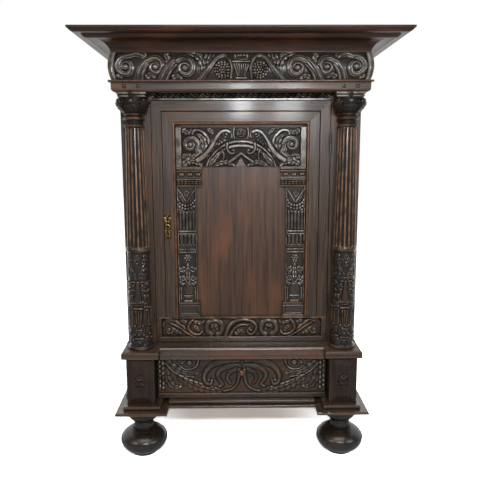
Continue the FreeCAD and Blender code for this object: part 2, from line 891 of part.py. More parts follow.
def make_panel_bead():
    inner = panel_half - panel_bead_width
    front = face_y + panel_bead_recess
    middle = panel_half - panel_bead_width / 2
    depth = panel_y - front
    shoulder = front + panel_bead_width / 2
    profile = [
        (panel_half, panel_y),
        (panel_half, shoulder),
        ((middle, front), (inner, shoulder)),
        (inner, panel_y),
    ]
    face = outline_face(profile, lambda x, y: V(x, y, panel_bottom))
    upright = face.extrude(V(0, 0, panel_top - panel_bottom))
    lift = panel_top - panel_half
    top_face = outline_face(profile, lambda x, y: V(-panel_half, y, x + lift))
    top = top_face.extrude(V(2 * panel_half, 0, 0))
    mitre = [
        V(-panel_half, front, panel_top),
        V(panel_half, front, panel_top),
        V(inner, front, panel_top - panel_bead_width),
        V(-inner, front, panel_top - panel_bead_width),
    ]
    wedge = Part.Face(Part.makePolygon(mitre + mitre[:1])).extrude(V(0, depth, 0))
    nodes["panel_bead"] = pair(upright.cut(wedge)) + [top.common(wedge)]


def make_carvings():
    """The arch board and the pilasters that are planted on the door panel."""
    arch_top = panel_top - panel_bead_width - arch_top_gap
    arch_bottom = arch_top - arch_board_height
    front = panel_y - carving_thickness
    half_notch = arch_notch_width / 2
    outline = [
        (-carving_half, arch_bottom),
        (-half_notch, arch_bottom),
        (0, arch_bottom + arch_notch_height),
        (half_notch, arch_bottom),
        (carving_half, arch_bottom),
        (carving_half, arch_top),
        (-carving_half, arch_top),
    ]
    nodes["arch_board"] = [outline_face(outline, lambda x, z: V(x, front, z)).extrude(
        V(0, carving_thickness, 0))]

    impost_bottom = arch_bottom - impost_height
    base_top_level = panel_bottom + pilaster_base_height
    band_low = base_top_level + pilaster_band_rise
    edge = carving_half
    shaft = box(edge - pilaster_width, edge, front, panel_y, base_top_level, impost_bottom)
    impost = box(edge - impost_width, edge, panel_y - impost_thickness, panel_y, impost_bottom, arch_bottom)
    foot_block = box(edge - pilaster_base_width, edge, panel_y - impost_thickness, panel_y,
                     panel_bottom, base_top_level)
    band = box(edge - pilaster_width, edge, panel_y - pilaster_band_thickness, panel_y,
               band_low, band_low + pilaster_band_height)
    pilaster = joined([shaft, impost, foot_block, band])
    nodes["pilasters"] = pair(pilaster)


def hinge_axis():
    """Plan position of the hinge pins: in the gap beside the door, just proud of its face."""
    return opening_half - door_gap / 2, face_y - hinge_pin_set_out


def make_hinges():
    pin_x, pin_y = hinge_axis()
    post_leaves, door_leaves, pins = [], [], []
    for low in (door_bottom + hinge_inset, door_top - hinge_inset - hinge_length):
        high = low + hinge_length
        mid_low = low + (hinge_length - hinge_middle_knuckle) / 2
        mid_high = mid_low + hinge_middle_knuckle
        bore = Part.makeCylinder(hinge_pin_radius + fit_clearance, hinge_length, V(pin_x, pin_y, low))
        leaf_back = face_y + hinge_leaf_width
        thick = hinge_leaf_thickness

        post_leaf = [box(opening_half - thick, opening_half, face_y, leaf_back, low, high)]
        for bottom, top in ((low, mid_low - hinge_knuckle_gap), (mid_high + hinge_knuckle_gap, high)):
            post_leaf.append(Part.makeCylinder(hinge_knuckle_radius, top - bottom, V(pin_x, pin_y, bottom)))
            post_leaf.append(box(opening_half - thick, opening_half, pin_y, face_y, bottom, top))
        post_leaves.append(joined(post_leaf).cut(bore))

        door_leaf = [
            box(door_half, door_half + thick, face_y + hinge_knuckle_gap, leaf_back, low, high),
            Part.makeCylinder(hinge_knuckle_radius, hinge_middle_knuckle, V(pin_x, pin_y, mid_low)),
            box(door_half, door_half + thick, pin_y, face_y + hinge_knuckle_gap, mid_low, mid_high),
        ]
        door_leaves.append(joined(door_leaf).cut(bore))
        pins.append(Part.makeCylinder(hinge_pin_radius, hinge_length, V(pin_x, pin_y, low)))
    nodes["hinge_leaves_post"] = post_leaves
    nodes["hinge_leaves_door"] = door_leaves
    nodes["hinge_pins"] = pins


def lock_centre():
    """Place of the keyhole on the inner band of the left stile, beside its outer band."""
    x = -door_half + outer_band_width + escutcheon_gap + escutcheon_width / 2
    return x, door_bottom + lock_rise


def keyhole(y0, y1):
    """A round hole with a slot under it, running from front to back."""
    x, z = lock_centre()
    hole = Part.makeCylinder(keyhole_radius, y1 - y0, V(x, y0, z), V(0, 1, 0))
    half = keyhole_slot_width / 2
    return hole.fuse(box(x - half, x + half, y0, y1, z - keyhole_slot_length, z))


def make_lock():
    x, z = lock_centre()
    plate_y = face_y + band_step
    front = plate_y - escutcheon_thickness
    relief_y = front - escutcheon_relief
    half_width, half_height = escutcheon_width / 2, escutcheon_height / 2
    shapes = [box(x - half_width, x + half_width, front, plate_y, z - half_height, z + half_height)]
    bosses = [(0, escutcheon_boss_radius)]
    for sign in (-1, 1):
        bosses.append((sign * escutcheon_lobe_offset, escutcheon_lobe_radius))
        bosses.append((sign * escutcheon_tip_offset, escutcheon_tip_radius))
    for rise, radius in bosses:
        shapes.append(Part.makeCylinder(radius, escutcheon_relief, V(x, relief_y, z + rise), V(0, 1, 0)))
    half = escutcheon_neck_width / 2
    shapes.append(box(x - half, x + half, relief_y, front,
                      z - escutcheon_tip_offset, z + escutcheon_tip_offset))
    nodes["escutcheon"] = [joined(shapes).cut(keyhole(relief_y, plate_y))]

    case_y = face_y + door_thickness
    case_x = -door_half + lock_case_edge
    case = box(case_x, case_x + lock_case_width, case_y, case_y + lock_case_depth,
               z - lock_case_height / 2, z + lock_case_height / 2)
    bolt_x = -door_half + bolt_setback
    bolt_y = post_back_y + bolt_behind_post
    bolt = box(bolt_x, bolt_x + bolt_length, bolt_y, bolt_y + bolt_thickness,
               z - bolt_height / 2, z + bolt_height / 2)
    gap = bolt_clearance
    channel = box(case_x, case_x + bolt_channel_length, bolt_y - gap, bolt_y + bolt_thickness + gap,
                  z - bolt_height / 2 - gap, z + bolt_height / 2 + gap)
    nodes["lock_case"] = [case.cut(channel).cut(keyhole(case_y, case_y + lock_case_depth))]
    nodes["lock_bolt"] = [bolt]
    nodes["strike_plate"] = [box(-opening_half - strike_width, -opening_half,
                                 post_back_y, post_back_y + strike_thickness,
                                 z - strike_height / 2, z + strike_height / 2)]


def make_drawer():
    half = drawer_half
    front_y = face_y - drawer_front_projection
    inside_y = front_y + drawer_front_thickness
    end_y = back_board_y - drawer_back_gap
    low = base_top + drawer_gap
    high = waist_top - waist_drop - drawer_gap
    side_low = base_top + runner_height + runner_clearance
    side_high = high - drawer_side_drop
    inner = half - drawer_side_thickness
    floor_low = side_low + drawer_bottom_rise
    floor_high = floor_low + drawer_bottom_thickness
    back_front = end_y - drawer_side_thickness
    knob_level = high - knob_drop
    shank = Part.makeCylinder(knob_shank_radius + fit_clearance, drawer_front_thickness,
                              V(0, front_y, knob_level), V(0, 1, 0))
    floor = box(-inner - drawer_groove, inner + drawer_groove, inside_y - drawer_groove, end_y,
                floor_low, floor_high)
    front = box(-half, half, front_y, inside_y, low, high).cut(shank).cut(floor)
    side = box(inner, half, inside_y, end_y, side_low, side_high).cut(floor)
    nodes["drawer_front"] = [front]
    back = box(-inner, inner, back_front, end_y, floor_high, side_high - drawer_back_drop)
    nodes["drawer_box"] = pair(side) + [back]
    nodes["drawer_bottom"] = [floor]
    nodes["drawer_knob"] = [drawer_knob(front_y, knob_level)]


def drawer_knob(front_y, level):
    """A turned knob whose shank goes through the drawer front."""
    tip = knob_neck_length + knob_head_length
    middle = knob_neck_length + knob_head_length / 2
    outline = [
        (0, -drawer_front_thickness),
        (knob_shank_radius, -drawer_front_thickness),
        (knob_shank_radius, 0),
        (knob_neck_radius, 0),
        (knob_neck_radius, knob_neck_length),
        ((knob_radius, middle), (knob_neck_radius, tip)),
        (0, tip),
    ]
    face = outline_face(outline, lambda radius, out: V(radius, front_y - out, level))
    return face.revolve(V(0, front_y, level), V(0, 1, 0), 360)


def make_cabinet():
    rear_foot_y = make_feet()
    make_base(rear_foot_y)
    make_pedestals()
    make_waist()
    make_sides()
    make_back()
    make_inside()
    make_columns()
    make_architrave()
    make_bead()
    make_frieze()
    make_cornice()
    make_door_frame(make_door_panel())
    make_panel_bead()
    make_carvings()
    make_hinges()
    make_lock()
    make_drawer()


def export_nodes():
    os.makedirs("parts", exist_ok=True)
    for name, shapes in sorted(nodes.items()):
        solids = [solid for shape in shapes for solid in shape.Solids]
        shape = solids[0] if len(solids) == 1 else Part.makeCompound(solids)
        valid = all(solid.isValid() for solid in solids)
        volume = sum(solid.Volume for solid in solids) / 1000.0
        print(f"{name}: {len(solids)} solids, {volume:.1f} cm3, valid {valid}")
        shape.exportStep("parts/" + name + ".step")
    everything = Part.makeCompound([shape for shapes in nodes.values() for shape in shapes])
    bounds = everything.BoundBox
    print(f"{len(nodes)} nodes, {bounds.XLength:.1f} x {bounds.YLength:.1f} x {bounds.ZLength:.1f} mm")


make_cabinet()
export_nodes()
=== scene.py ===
# %% [markdown]
# # A carved oak bonnetiere
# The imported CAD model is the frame: every board, column and hinge already stands in its place. This
# lesson dresses it. Plain boards keep their CAD shape and get a wood finish. Carved boards are
# replaced by dense meshes whose relief is drawn with straps, leaves and scrolls, as a carver does.

# %% Load the frame
import math

import bmesh
import bpy
import numpy as np
from mathutils import Matrix, Vector


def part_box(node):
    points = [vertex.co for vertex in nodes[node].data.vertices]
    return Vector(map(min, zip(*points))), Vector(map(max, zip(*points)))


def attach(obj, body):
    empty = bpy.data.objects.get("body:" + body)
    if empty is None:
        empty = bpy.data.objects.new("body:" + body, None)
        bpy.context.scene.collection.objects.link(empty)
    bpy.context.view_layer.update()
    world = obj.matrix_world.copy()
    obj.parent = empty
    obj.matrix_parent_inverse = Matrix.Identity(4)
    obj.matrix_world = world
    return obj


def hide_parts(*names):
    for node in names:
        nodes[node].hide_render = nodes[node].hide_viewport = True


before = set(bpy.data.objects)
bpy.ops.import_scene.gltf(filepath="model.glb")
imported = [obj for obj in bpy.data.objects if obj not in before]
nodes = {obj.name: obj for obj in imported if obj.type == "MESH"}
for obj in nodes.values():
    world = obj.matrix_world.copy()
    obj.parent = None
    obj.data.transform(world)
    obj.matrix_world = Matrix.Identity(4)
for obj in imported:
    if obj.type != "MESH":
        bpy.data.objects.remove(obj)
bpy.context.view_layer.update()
MM = 0.001
scene = bpy.context.scene

# %% [markdown]
# The photograph was taken from a little over a metre up, looking slightly down, so the cornice shows
# its underside and the feet are seen from above. The camera could be placed by eye, but a fit to the
# cabinet's corners gave its place, tilt and lens, and those are written here.

# %% Camera
CAMERA_PLACE = Vector((-0.0288, -2.2818, 1.2371))
CAMERA_YAW = -0.0108
CAMERA_TILT_DOWN = 0.1537
CAMERA_ROLL = -0.0029
LENS_PIXELS = 525.8
IMAGE_PIXELS = 480
SENSOR_WIDTH = 36.0


def make_camera():
    data = bpy.data.cameras.new("camera")
    data.sensor_width = SENSOR_WIDTH
    data.lens = SENSOR_WIDTH * LENS_PIXELS / IMAGE_PIXELS
    camera = bpy.data.objects.new("camera", data)
    scene.collection.objects.link(camera)
    turn = Matrix.Rotation(CAMERA_YAW, 4, "Z")
    turn = turn @ Matrix.Rotation(math.pi / 2 - CAMERA_TILT_DOWN, 4, "X")
    turn = turn @ Matrix.Rotation(CAMERA_ROLL, 4, "Z")
    camera.matrix_world = Matrix.Translation(CAMERA_PLACE) @ turn
    scene.camera = camera
    return camera


camera = make_camera()
print("lens:", round(camera.data.lens, 1), "mm")

# %% [markdown]
# Shader trees are easier to read when small helpers make the nodes. `place` adds a node and sets its
# values, and `join` links an output to an input. Node groups are built once and placed in each
# material that needs them.

# %% Shader helpers
def place(tree, kind, values=None, **settings):
    """Add a shader node, set its properties and the values of its inputs."""
    node = tree.nodes.new(kind)
    for name, value in settings.items():
        setattr(node, name, value)
    for name, value in (values or {}).items():
        node.inputs[name].default_value = value
    return node


def join(tree, *pairs):
    """Link outputs to inputs, given as pairs."""
    for source, target in pairs:
        tree.links.new(source, target)


def new_group(name, inputs, outputs):
    """A shader node group with named sockets: inputs are name, kind and value, outputs name and kind."""
    group = bpy.data.node_groups.new(name, "ShaderNodeTree")
    for label, kind, value in inputs:
        group.interface.new_socket(label, in_out="INPUT", socket_type=kind).default_value = value
    for label, kind in outputs:
        group.interface.new_socket(label, in_out="OUTPUT", socket_type=kind)
    return group, group.nodes.new("NodeGroupInput"), group.nodes.new("NodeGroupOutput")


def use_group(tree, group, values):
    """Place a node group in a material with its own values."""
    return place(tree, "ShaderNodeGroup", values, node_tree=group)


VALUE, COLOUR, VECTOR = "NodeSocketFloat", "NodeSocketColor", "NodeSocketVector"
print("shader helpers ready")

# %% [markdown]
# The cabinet stands in a white studio. A floor sheet alone would leave a grey horizon, so camera rays
# that leave the scene see plain white, and the floor is nearly white with the cabinet's soft shadow.
# The sheet hung behind the cabinet is white in reflections too, and shows on polished wood that is
# seen at a low angle. A broad lamp on each side and a long one overhead light the front, and two small
# lamps near the camera make the pair of bright patches that the photograph shows on the rails.

# %% Stage and light
FLOOR_SIDE = 30.0
WORLD_LIGHT = 0.2
FLOOR_COLOUR = (0.6, 0.6, 0.6, 1.0)
FLOOR_SEEN = (6.0, 6.0, 6.0, 1.0)
LAMP_COLOUR = (0.94, 0.97, 1.0)


def white_share(tree, coordinates, near_y, far_y):
    """Where the stage is plain white: to the camera, and in mirrors if it lies behind the cabinet."""
    rays = place(tree, "ShaderNodeLightPath")
    where = place(tree, "ShaderNodeTexCoord")
    parts = place(tree, "ShaderNodeSeparateXYZ")
    behind = place(tree, "ShaderNodeMapRange", {"From Min": near_y, "From Max": far_y})
    mirrored = place(tree, "ShaderNodeMath", operation="MAXIMUM")
    sheet = place(tree, "ShaderNodeMath", operation="MULTIPLY")
    seen = place(tree, "ShaderNodeMath", operation="MAXIMUM")
    join(tree,
         (where.outputs[coordinates], parts.inputs[0]), (parts.outputs["Y"], behind.inputs["Value"]),
         (rays.outputs["Is Glossy Ray"], mirrored.inputs[0]),
         (rays.outputs["Is Transmission Ray"], mirrored.inputs[1]),
         (mirrored.outputs[0], sheet.inputs[0]), (behind.outputs[0], sheet.inputs[1]),
         (rays.outputs["Is Camera Ray"], seen.inputs[0]), (sheet.outputs[0], seen.inputs[1]))
    return seen.outputs[0]


def make_world():
    world = bpy.data.worlds.new("studio")
    world.use_nodes = True
    tree = world.node_tree
    tree.nodes.clear()
    level = place(tree, "ShaderNodeMapRange", {"To Min": WORLD_LIGHT, "To Max": 1.0})
    background = place(tree, "ShaderNodeBackground", {"Color": (1.0, 1.0, 1.0, 1.0)})
    output = place(tree, "ShaderNodeOutputWorld")
    join(tree, (white_share(tree, "Generated", near_y=0.0, far_y=0.3), level.inputs["Value"]),
         (level.outputs[0], background.inputs["Strength"]),
         (background.outputs[0], output.inputs["Surface"]))
    scene.world = world


def make_floor():
    mesh = bpy.data.meshes.new("floor")
    side = FLOOR_SIDE / 2
    corners = [(-side, -side, 0), (side, -side, 0), (side, side, 0), (-side, side, 0)]
    mesh.from_pydata(corners, [], [(0, 1, 2, 3)])
    floor = bpy.data.objects.new("floor", mesh)
    scene.collection.objects.link(floor)
    material = bpy.data.materials.new("floor_white")
    material.use_nodes = True
    tree = material.node_tree
    shader = tree.nodes["Principled BSDF"]
    shader.inputs["Roughness"].default_value = 0.9
    shader.inputs["Specular IOR Level"].default_value = 0.1
    seen = white_share(tree, "Object", near_y=0.4, far_y=1.2)
    tone = place(tree, "ShaderNodeMix", {6: FLOOR_COLOUR, 7: FLOOR_SEEN}, data_type="RGBA")
    join(tree, (seen, tone.inputs["Factor"]), (tone.outputs[2], shader.inputs["Base Color"]))
    mesh.materials.append(material)


def make_lamp(name, where, aim, size, power):
    data = bpy.data.lights.new(name, "AREA")
    data.shape = "RECTANGLE"
    data.size, data.size_y = size
    data.energy = power
    data.color = LAMP_COLOUR
    lamp = bpy.data.objects.new(name, data)
    lamp.location = where
    lamp.rotation_euler = (Vector(aim) - Vector(where)).to_track_quat("-Z", "Y").to_euler()
    scene.collection.objects.link(lamp)


scene.view_settings.view_transform = "Standard"
make_world()
make_floor()
MIDDLE = (0.0, 0.0, 0.95)
make_lamp("lamp_left", where=(-2.6, -2.6, 2.5), aim=MIDDLE, size=(1.4, 1.4), power=30)
make_lamp("lamp_right", where=(2.8, -2.4, 2.2), aim=MIDDLE, size=(1.4, 1.4), power=34)
make_lamp("lamp_overhead", where=(0.0, -1.7, 3.1), aim=(0.0, -0.2, 0.6), size=(2.4, 0.7), power=26)
make_lamp("lamp_over_camera", where=(0.03, -2.3, 1.68), aim=(0.03, 0.0, 1.45), size=(0.14, 0.22), power=17)
make_lamp("lamp_beside_camera", where=(0.42, -2.3, 1.67), aim=(0.42, 0.0, 1.45), size=(0.2, 0.24), power=14)

# %% [markdown]
# Oak shows its grain as long streaks with small open pores. A photograph of oak could be mapped on,
# but a procedural grain needs no picture and runs along each board's own length: noise that is
# squeezed across the grain. The group also gives broad patches, so that no two boards look the same.

# %% Grain group
def make_grain_group():
    group, given, result = new_group(
        "oak_grain",
        [("Stretch", VECTOR, (60.0, 60.0, 3.0)), ("Dark", COLOUR, (0, 0, 0, 1)),
         ("Light", COLOUR, (1, 1, 1, 1)), ("Warm", COLOUR, (1, 1, 1, 1)), ("Shift", VALUE, 0.0)],
        [("Color", COLOUR), ("Patch", VALUE), ("Pores", VALUE)])
    where = place(group, "ShaderNodeTexCoord")
    moved = place(group, "ShaderNodeVectorMath", operation="ADD")
    squeezed = place(group, "ShaderNodeVectorMath", operation="MULTIPLY")
    streak = place(group, "ShaderNodeTexNoise", {"Scale": 1.0, "Detail": 5.0, "Distortion": 0.4})
    fine = place(group, "ShaderNodeTexNoise", {"Scale": 5.0, "Detail": 3.0})
    patch = place(group, "ShaderNodeTexNoise", {"Scale": 3.2, "Detail": 2.0})
    drawn_out = place(group, "ShaderNodeVectorMath", {1: (0.005, 0.005, 0.005), 2: (0.25, 0.25, 0.25)},
                      operation="MULTIPLY_ADD")
    along = place(group, "ShaderNodeVectorMath", operation="MULTIPLY")
    warm = place(group, "ShaderNodeTexNoise", {"Scale": 13.0, "Detail": 4.0})
    contrast = place(group, "ShaderNodeMapRange", {"From Min": 0.34, "From Max": 0.7})
    warm_spread = place(group, "ShaderNodeMapRange", {"From Min": 0.5, "From Max": 0.72})
    wood = place(group, "ShaderNodeMix", data_type="RGBA")
    tint = place(group, "ShaderNodeMix", data_type="RGBA")
    pores = place(group, "ShaderNodeMapRange", {"From Min": 0.42, "From Max": 0.6})
    join(group,
         (where.outputs["Object"], moved.inputs[0]), (given.outputs["Shift"], moved.inputs[1]),
         (moved.outputs[0], squeezed.inputs[0]), (given.outputs["Stretch"], squeezed.inputs[1]),
         (squeezed.outputs[0], streak.inputs["Vector"]), (squeezed.outputs[0], fine.inputs["Vector"]),
         (given.outputs["Stretch"], drawn_out.inputs[0]), (moved.outputs[0], along.inputs[0]),
         (drawn_out.outputs[0], along.inputs[1]), (along.outputs[0], warm.inputs["Vector"]),
         (moved.outputs[0], patch.inputs["Vector"]),
         (streak.outputs["Fac"], contrast.inputs["Value"]),
         (warm.outputs["Fac"], warm_spread.inputs["Value"]),
         (contrast.outputs[0], wood.inputs["Factor"]),
         (given.outputs["Dark"], wood.inputs[6]), (given.outputs["Light"], wood.inputs[7]),
         (warm_spread.outputs[0], tint.inputs["Factor"]),
         (wood.outputs[2], tint.inputs[6]), (given.outputs["Warm"], tint.inputs[7]),
         (fine.outputs["Fac"], pores.inputs["Value"]),
         (tint.outputs[2], result.inputs["Color"]), (patch.outputs["Fac"], result.inputs["Patch"]),
         (pores.outputs[0], result.inputs["Pores"]))
    return group


grain_group = make_grain_group()
print("grain group sockets:", len(grain_group.interface.items_tree))

# %% [markdown]
# Hands and cloths wear wax off the edges, and the bare edge shows orange brown. On a plain board the
# edges are found by looking inwards from the surface: near an outside edge the far face is close. The
# creases are found by looking outwards, and they are darkened for dirt and as painted shade. On a
# carving the heights are known, so each vertex already carries how far it stands above or below its
# surroundings, and the shader only reads those two values: the raised share for wear, which on the pale
# carvings is also a painted highlight, and the low share for dirt and painted shade.

# %% Wear groups
EDGE_REACH = 0.006
CREASE_REACH = 0.014


def make_edge_group():
    group, given, result = new_group("edge_wear_and_crease_shade", [("Amount", VALUE, 1.0)],
                                     [("Edge", VALUE), ("Hollow", VALUE)])
    inward = place(group, "ShaderNodeAmbientOcclusion", {"Distance": EDGE_REACH}, inside=True,
                   only_local=True, samples=6)
    # Outward occlusion finds creases and recesses, which are darkened for dirt and as painted shade.
    outward = place(group, "ShaderNodeAmbientOcclusion", {"Distance": CREASE_REACH}, samples=6)
    rough = place(group, "ShaderNodeTexNoise", {"Scale": 45.0, "Detail": 3.0})
    where = place(group, "ShaderNodeTexCoord")
    near = place(group, "ShaderNodeMapRange", {"From Min": 0.98, "From Max": 0.55})
    broken = place(group, "ShaderNodeMapRange", {"From Min": 0.32, "From Max": 0.6})
    mask = place(group, "ShaderNodeMath", operation="MULTIPLY")
    scaled = place(group, "ShaderNodeMath", operation="MULTIPLY")
    crease = place(group, "ShaderNodeMapRange", {"From Min": 0.85, "From Max": 0.4})
    join(group,
         (inward.outputs["AO"], near.inputs["Value"]),
         (outward.outputs["AO"], crease.inputs["Value"]), (crease.outputs[0], result.inputs["Hollow"]),
         (where.outputs["Object"], rough.inputs["Vector"]), (rough.outputs["Fac"], broken.inputs["Value"]),
         (near.outputs[0], mask.inputs[0]), (broken.outputs[0], mask.inputs[1]),
         (mask.outputs[0], scaled.inputs[0]), (given.outputs["Amount"], scaled.inputs[1]),
         (scaled.outputs[0], result.inputs["Edge"]))
    return group


def make_carved_group():
    group, given, result = new_group("carved_wear_highlight_and_shade", [("Amount", VALUE, 1.0)],
                                     [("Edge", VALUE), ("Hollow", VALUE)])
    # Raised marks bring the worn tone, on pale carvings also a painted highlight; low marks bring dirt and
    # painted shade.
    ridge = place(group, "ShaderNodeAttribute", attribute_name="ridge")
    hollow = place(group, "ShaderNodeAttribute", attribute_name="hollow")
    where = place(group, "ShaderNodeTexCoord")
    rough = place(group, "ShaderNodeTexNoise", {"Scale": 30.0, "Detail": 3.0})
    broken = place(group, "ShaderNodeMapRange", {"From Min": 0.35, "From Max": 0.62})
    worn_and_highlit = place(group, "ShaderNodeMath", operation="MULTIPLY")
    scaled = place(group, "ShaderNodeMath", operation="MULTIPLY")
    join(group,
         (where.outputs["Object"], rough.inputs["Vector"]), (rough.outputs["Fac"], broken.inputs["Value"]),
         (ridge.outputs["Fac"], worn_and_highlit.inputs[0]), (broken.outputs[0], worn_and_highlit.inputs[1]),
         (worn_and_highlit.outputs[0], scaled.inputs[0]), (given.outputs["Amount"], scaled.inputs[1]),
         (scaled.outputs[0], result.inputs["Edge"]), (hollow.outputs["Fac"], result.inputs["Hollow"]))
    return group


edge_group = make_edge_group()
carved_group = make_carved_group()
print("wear groups:", edge_group.name, carved_group.name)

# %% [markdown]
# Every wood finish on the cabinet is the same recipe with other colours: grain, worn edges, dirt and
# painted shade in the hollows, a wax coat and fine pores. A finish is therefore one function. The waxed
# front is dark brown and its carvings nearly black, the cornice is redder, the knob is the reddest, and
# the boards inside were never waxed. Carvings differ most in the colour of their raised tops: pale grey
# on the frieze, arch and drawer, where it is wear and a painted highlight, and a mellow brown of wear on
# the bottom rail and the drums.

# %% Oak finishes
UPRIGHT = (150.0, 150.0, 5.0)
LEVEL = (5.0, 150.0, 150.0)
DEEP = (150.0, 5.0, 150.0)
GRAINS = {"upright": UPRIGHT, "level": LEVEL, "deep": DEEP}
GRAIN_SHIFT = 3.0
DIRT_AND_SHADE_SHARE = 0.3
DIRT_ROUGHNESS = 0.8
PORE_STRENGTH = 0.10
PORE_DEPTH = 0.0008
finishes = {}


def oak(name, grain, dark, light, warm, worn_and_highlit, wear_and_highlight=0.8, rough=(0.26, 0.44), coat=0.25, polish=0.22,
        shine=0.4, carved=False):
    """A waxed oak material. Colours are linear; rough is the range of roughness over the patches."""
    material = bpy.data.materials.new(name)
    material.use_nodes = True
    tree = material.node_tree
    shader = tree.nodes["Principled BSDF"]
    shader.inputs["Specular IOR Level"].default_value = shine
    shader.inputs["Coat Roughness"].default_value = polish
    wood = use_group(tree, grain_group, {"Stretch": GRAINS[grain], "Dark": (*dark, 1), "Light": (*light, 1),
                                         "Warm": (*warm, 1), "Shift": GRAIN_SHIFT * len(finishes)})
    marks = use_group(tree, carved_group if carved else edge_group, {"Amount": wear_and_highlight})
    rubbed_and_highlit = place(tree, "ShaderNodeMix", {7: (*worn_and_highlit, 1)}, data_type="RGBA")
    # Hollows are darkened towards this share of the dark tone: dirt, and painted shade where shade falls.
    ground = [DIRT_AND_SHADE_SHARE * channel for channel in dark]
    sunk = place(tree, "ShaderNodeMix", {7: (*ground, 1)}, data_type="RGBA")
    gloss = place(tree, "ShaderNodeMapRange", {"From Min": 0.3, "From Max": 0.7,
                                               "To Min": rough[0], "To Max": rough[1]})
    matt = place(tree, "ShaderNodeMix", {3: DIRT_ROUGHNESS})
    wax = place(tree, "ShaderNodeMapRange", {"To Min": coat, "To Max": 0.0})
    bump = place(tree, "ShaderNodeBump", {"Strength": PORE_STRENGTH, "Distance": PORE_DEPTH})
    hollow = marks.outputs["Hollow"]
    join(tree,
         (wood.outputs["Color"], rubbed_and_highlit.inputs[6]), (marks.outputs["Edge"], rubbed_and_highlit.inputs["Factor"]),
         (rubbed_and_highlit.outputs[2], sunk.inputs[6]), (hollow, sunk.inputs["Factor"]),
         (sunk.outputs[2], shader.inputs["Base Color"]),
         (wood.outputs["Patch"], gloss.inputs["Value"]), (gloss.outputs[0], matt.inputs[2]),
         (hollow, matt.inputs["Factor"]), (matt.outputs[0], shader.inputs["Roughness"]),
         (hollow, wax.inputs["Value"]), (wax.outputs[0], shader.inputs["Coat Weight"]),
         (wood.outputs["Pores"], bump.inputs["Height"]), (bump.outputs[0], shader.inputs["Normal"]))
    return material


WORN = (0.20, 0.075, 0.026)
# The pale grey worn tone of carved tops is wear, and a painted highlight on their polished ridges.
RUB_AND_HIGHLIGHT = (0.34, 0.29, 0.23)
MELLOW = (0.23, 0.12, 0.06)
FRONT = dict(dark=(0.018, 0.011, 0.007), light=(0.066, 0.038, 0.023), warm=(0.09, 0.036, 0.017), worn_and_highlit=WORN)
FRAME = dict(dark=(0.022, 0.014, 0.010), light=(0.092, 0.057, 0.037), warm=(0.11, 0.048, 0.026), worn_and_highlit=WORN)
CROWN = dict(dark=(0.016, 0.006, 0.003), light=(0.046, 0.017, 0.008), warm=(0.085, 0.027, 0.009), worn_and_highlit=WORN)
FIELD = dict(dark=(0.028, 0.014, 0.008), light=(0.092, 0.041, 0.020), warm=(0.120, 0.044, 0.018), worn_and_highlit=WORN)
BEAD = dict(dark=(0.035, 0.014, 0.006), light=(0.10, 0.038, 0.014), warm=(0.15, 0.05, 0.016),
            worn_and_highlit=(0.28, 0.115, 0.04))
KNOB = dict(dark=(0.06, 0.016, 0.006), light=(0.15, 0.044, 0.015), warm=(0.20, 0.062, 0.019), worn_and_highlit=WORN)
BLACK = dict(dark=(0.009, 0.007, 0.005), light=(0.024, 0.017, 0.012), warm=(0.034, 0.018, 0.010))
DIE = dict(dark=(0.010, 0.006, 0.004), light=(0.031, 0.017, 0.010), warm=(0.048, 0.019, 0.009), worn_and_highlit=WORN)
CARVED = dict(dark=(0.015, 0.011, 0.008), light=(0.043, 0.032, 0.023), warm=(0.055, 0.029, 0.016))
DRAWER = dict(dark=(0.017, 0.011, 0.007), light=(0.052, 0.034, 0.021), warm=(0.07, 0.033, 0.015))
SHAFT = dict(dark=(0.022, 0.013, 0.008), light=(0.060, 0.036, 0.021), warm=(0.085, 0.038, 0.017),
             worn_and_highlit=(0.22, 0.105, 0.045))
DRY = dict(dark=(0.12, 0.075, 0.042), light=(0.24, 0.16, 0.095), warm=(0.26, 0.15, 0.08),
           worn_and_highlit=(0.30, 0.20, 0.12))
for grain in GRAINS:
    finishes["front", grain] = oak("oak_front_" + grain, grain, **FRONT, rough=(0.18, 0.28), coat=0.7,
                                   shine=0.5)
    finishes["frame", grain] = oak("oak_frame_" + grain, grain, **FRAME, wear_and_highlight=0.2, rough=(0.34, 0.46),
                                   coat=0.12, polish=0.12)
    finishes["crown", grain] = oak("oak_crown_" + grain, grain, **CROWN, wear_and_highlight=0.1, rough=(0.34, 0.46),
                                   coat=0.05, shine=0.3)
    finishes["black", grain] = oak("oak_black_" + grain, grain, **BLACK, worn_and_highlit=WORN, wear_and_highlight=0.2,
                                   rough=(0.18, 0.3), coat=0.3)
    finishes["dry", grain] = oak("oak_dry_" + grain, grain, **DRY, wear_and_highlight=0.4, rough=(0.62, 0.8), coat=0.0)
    finishes["carved", grain] = oak("oak_carved_" + grain, grain, **CARVED, worn_and_highlit=RUB_AND_HIGHLIGHT, wear_and_highlight=0.8,
                                    rough=(0.28, 0.38), coat=1.0, shine=0.15, carved=True)
    finishes["carved_warm", grain] = oak("oak_carved_warm_" + grain, grain, **CARVED, worn_and_highlit=MELLOW,
                                         wear_and_highlight=0.95, rough=(0.28, 0.38), coat=0.8, shine=0.15, carved=True)
finishes["drawer", "level"] = oak("oak_drawer", "level", **DRAWER, worn_and_highlit=RUB_AND_HIGHLIGHT, wear_and_highlight=0.8, rough=(0.3, 0.4),
                                  coat=0.55, shine=0.15, carved=True)
finishes["bead", "upright"] = oak("oak_bead", "upright", **BEAD, wear_and_highlight=1.0)
finishes["polished", "level"] = oak("oak_polished", "level", **CROWN, wear_and_highlight=0.5, rough=(0.2, 0.3), coat=0.5)
finishes["knob", "level"] = oak("oak_knob", "level", **KNOB, wear_and_highlight=0.2, rough=(0.2, 0.3), coat=0.8,
                                polish=0.1)
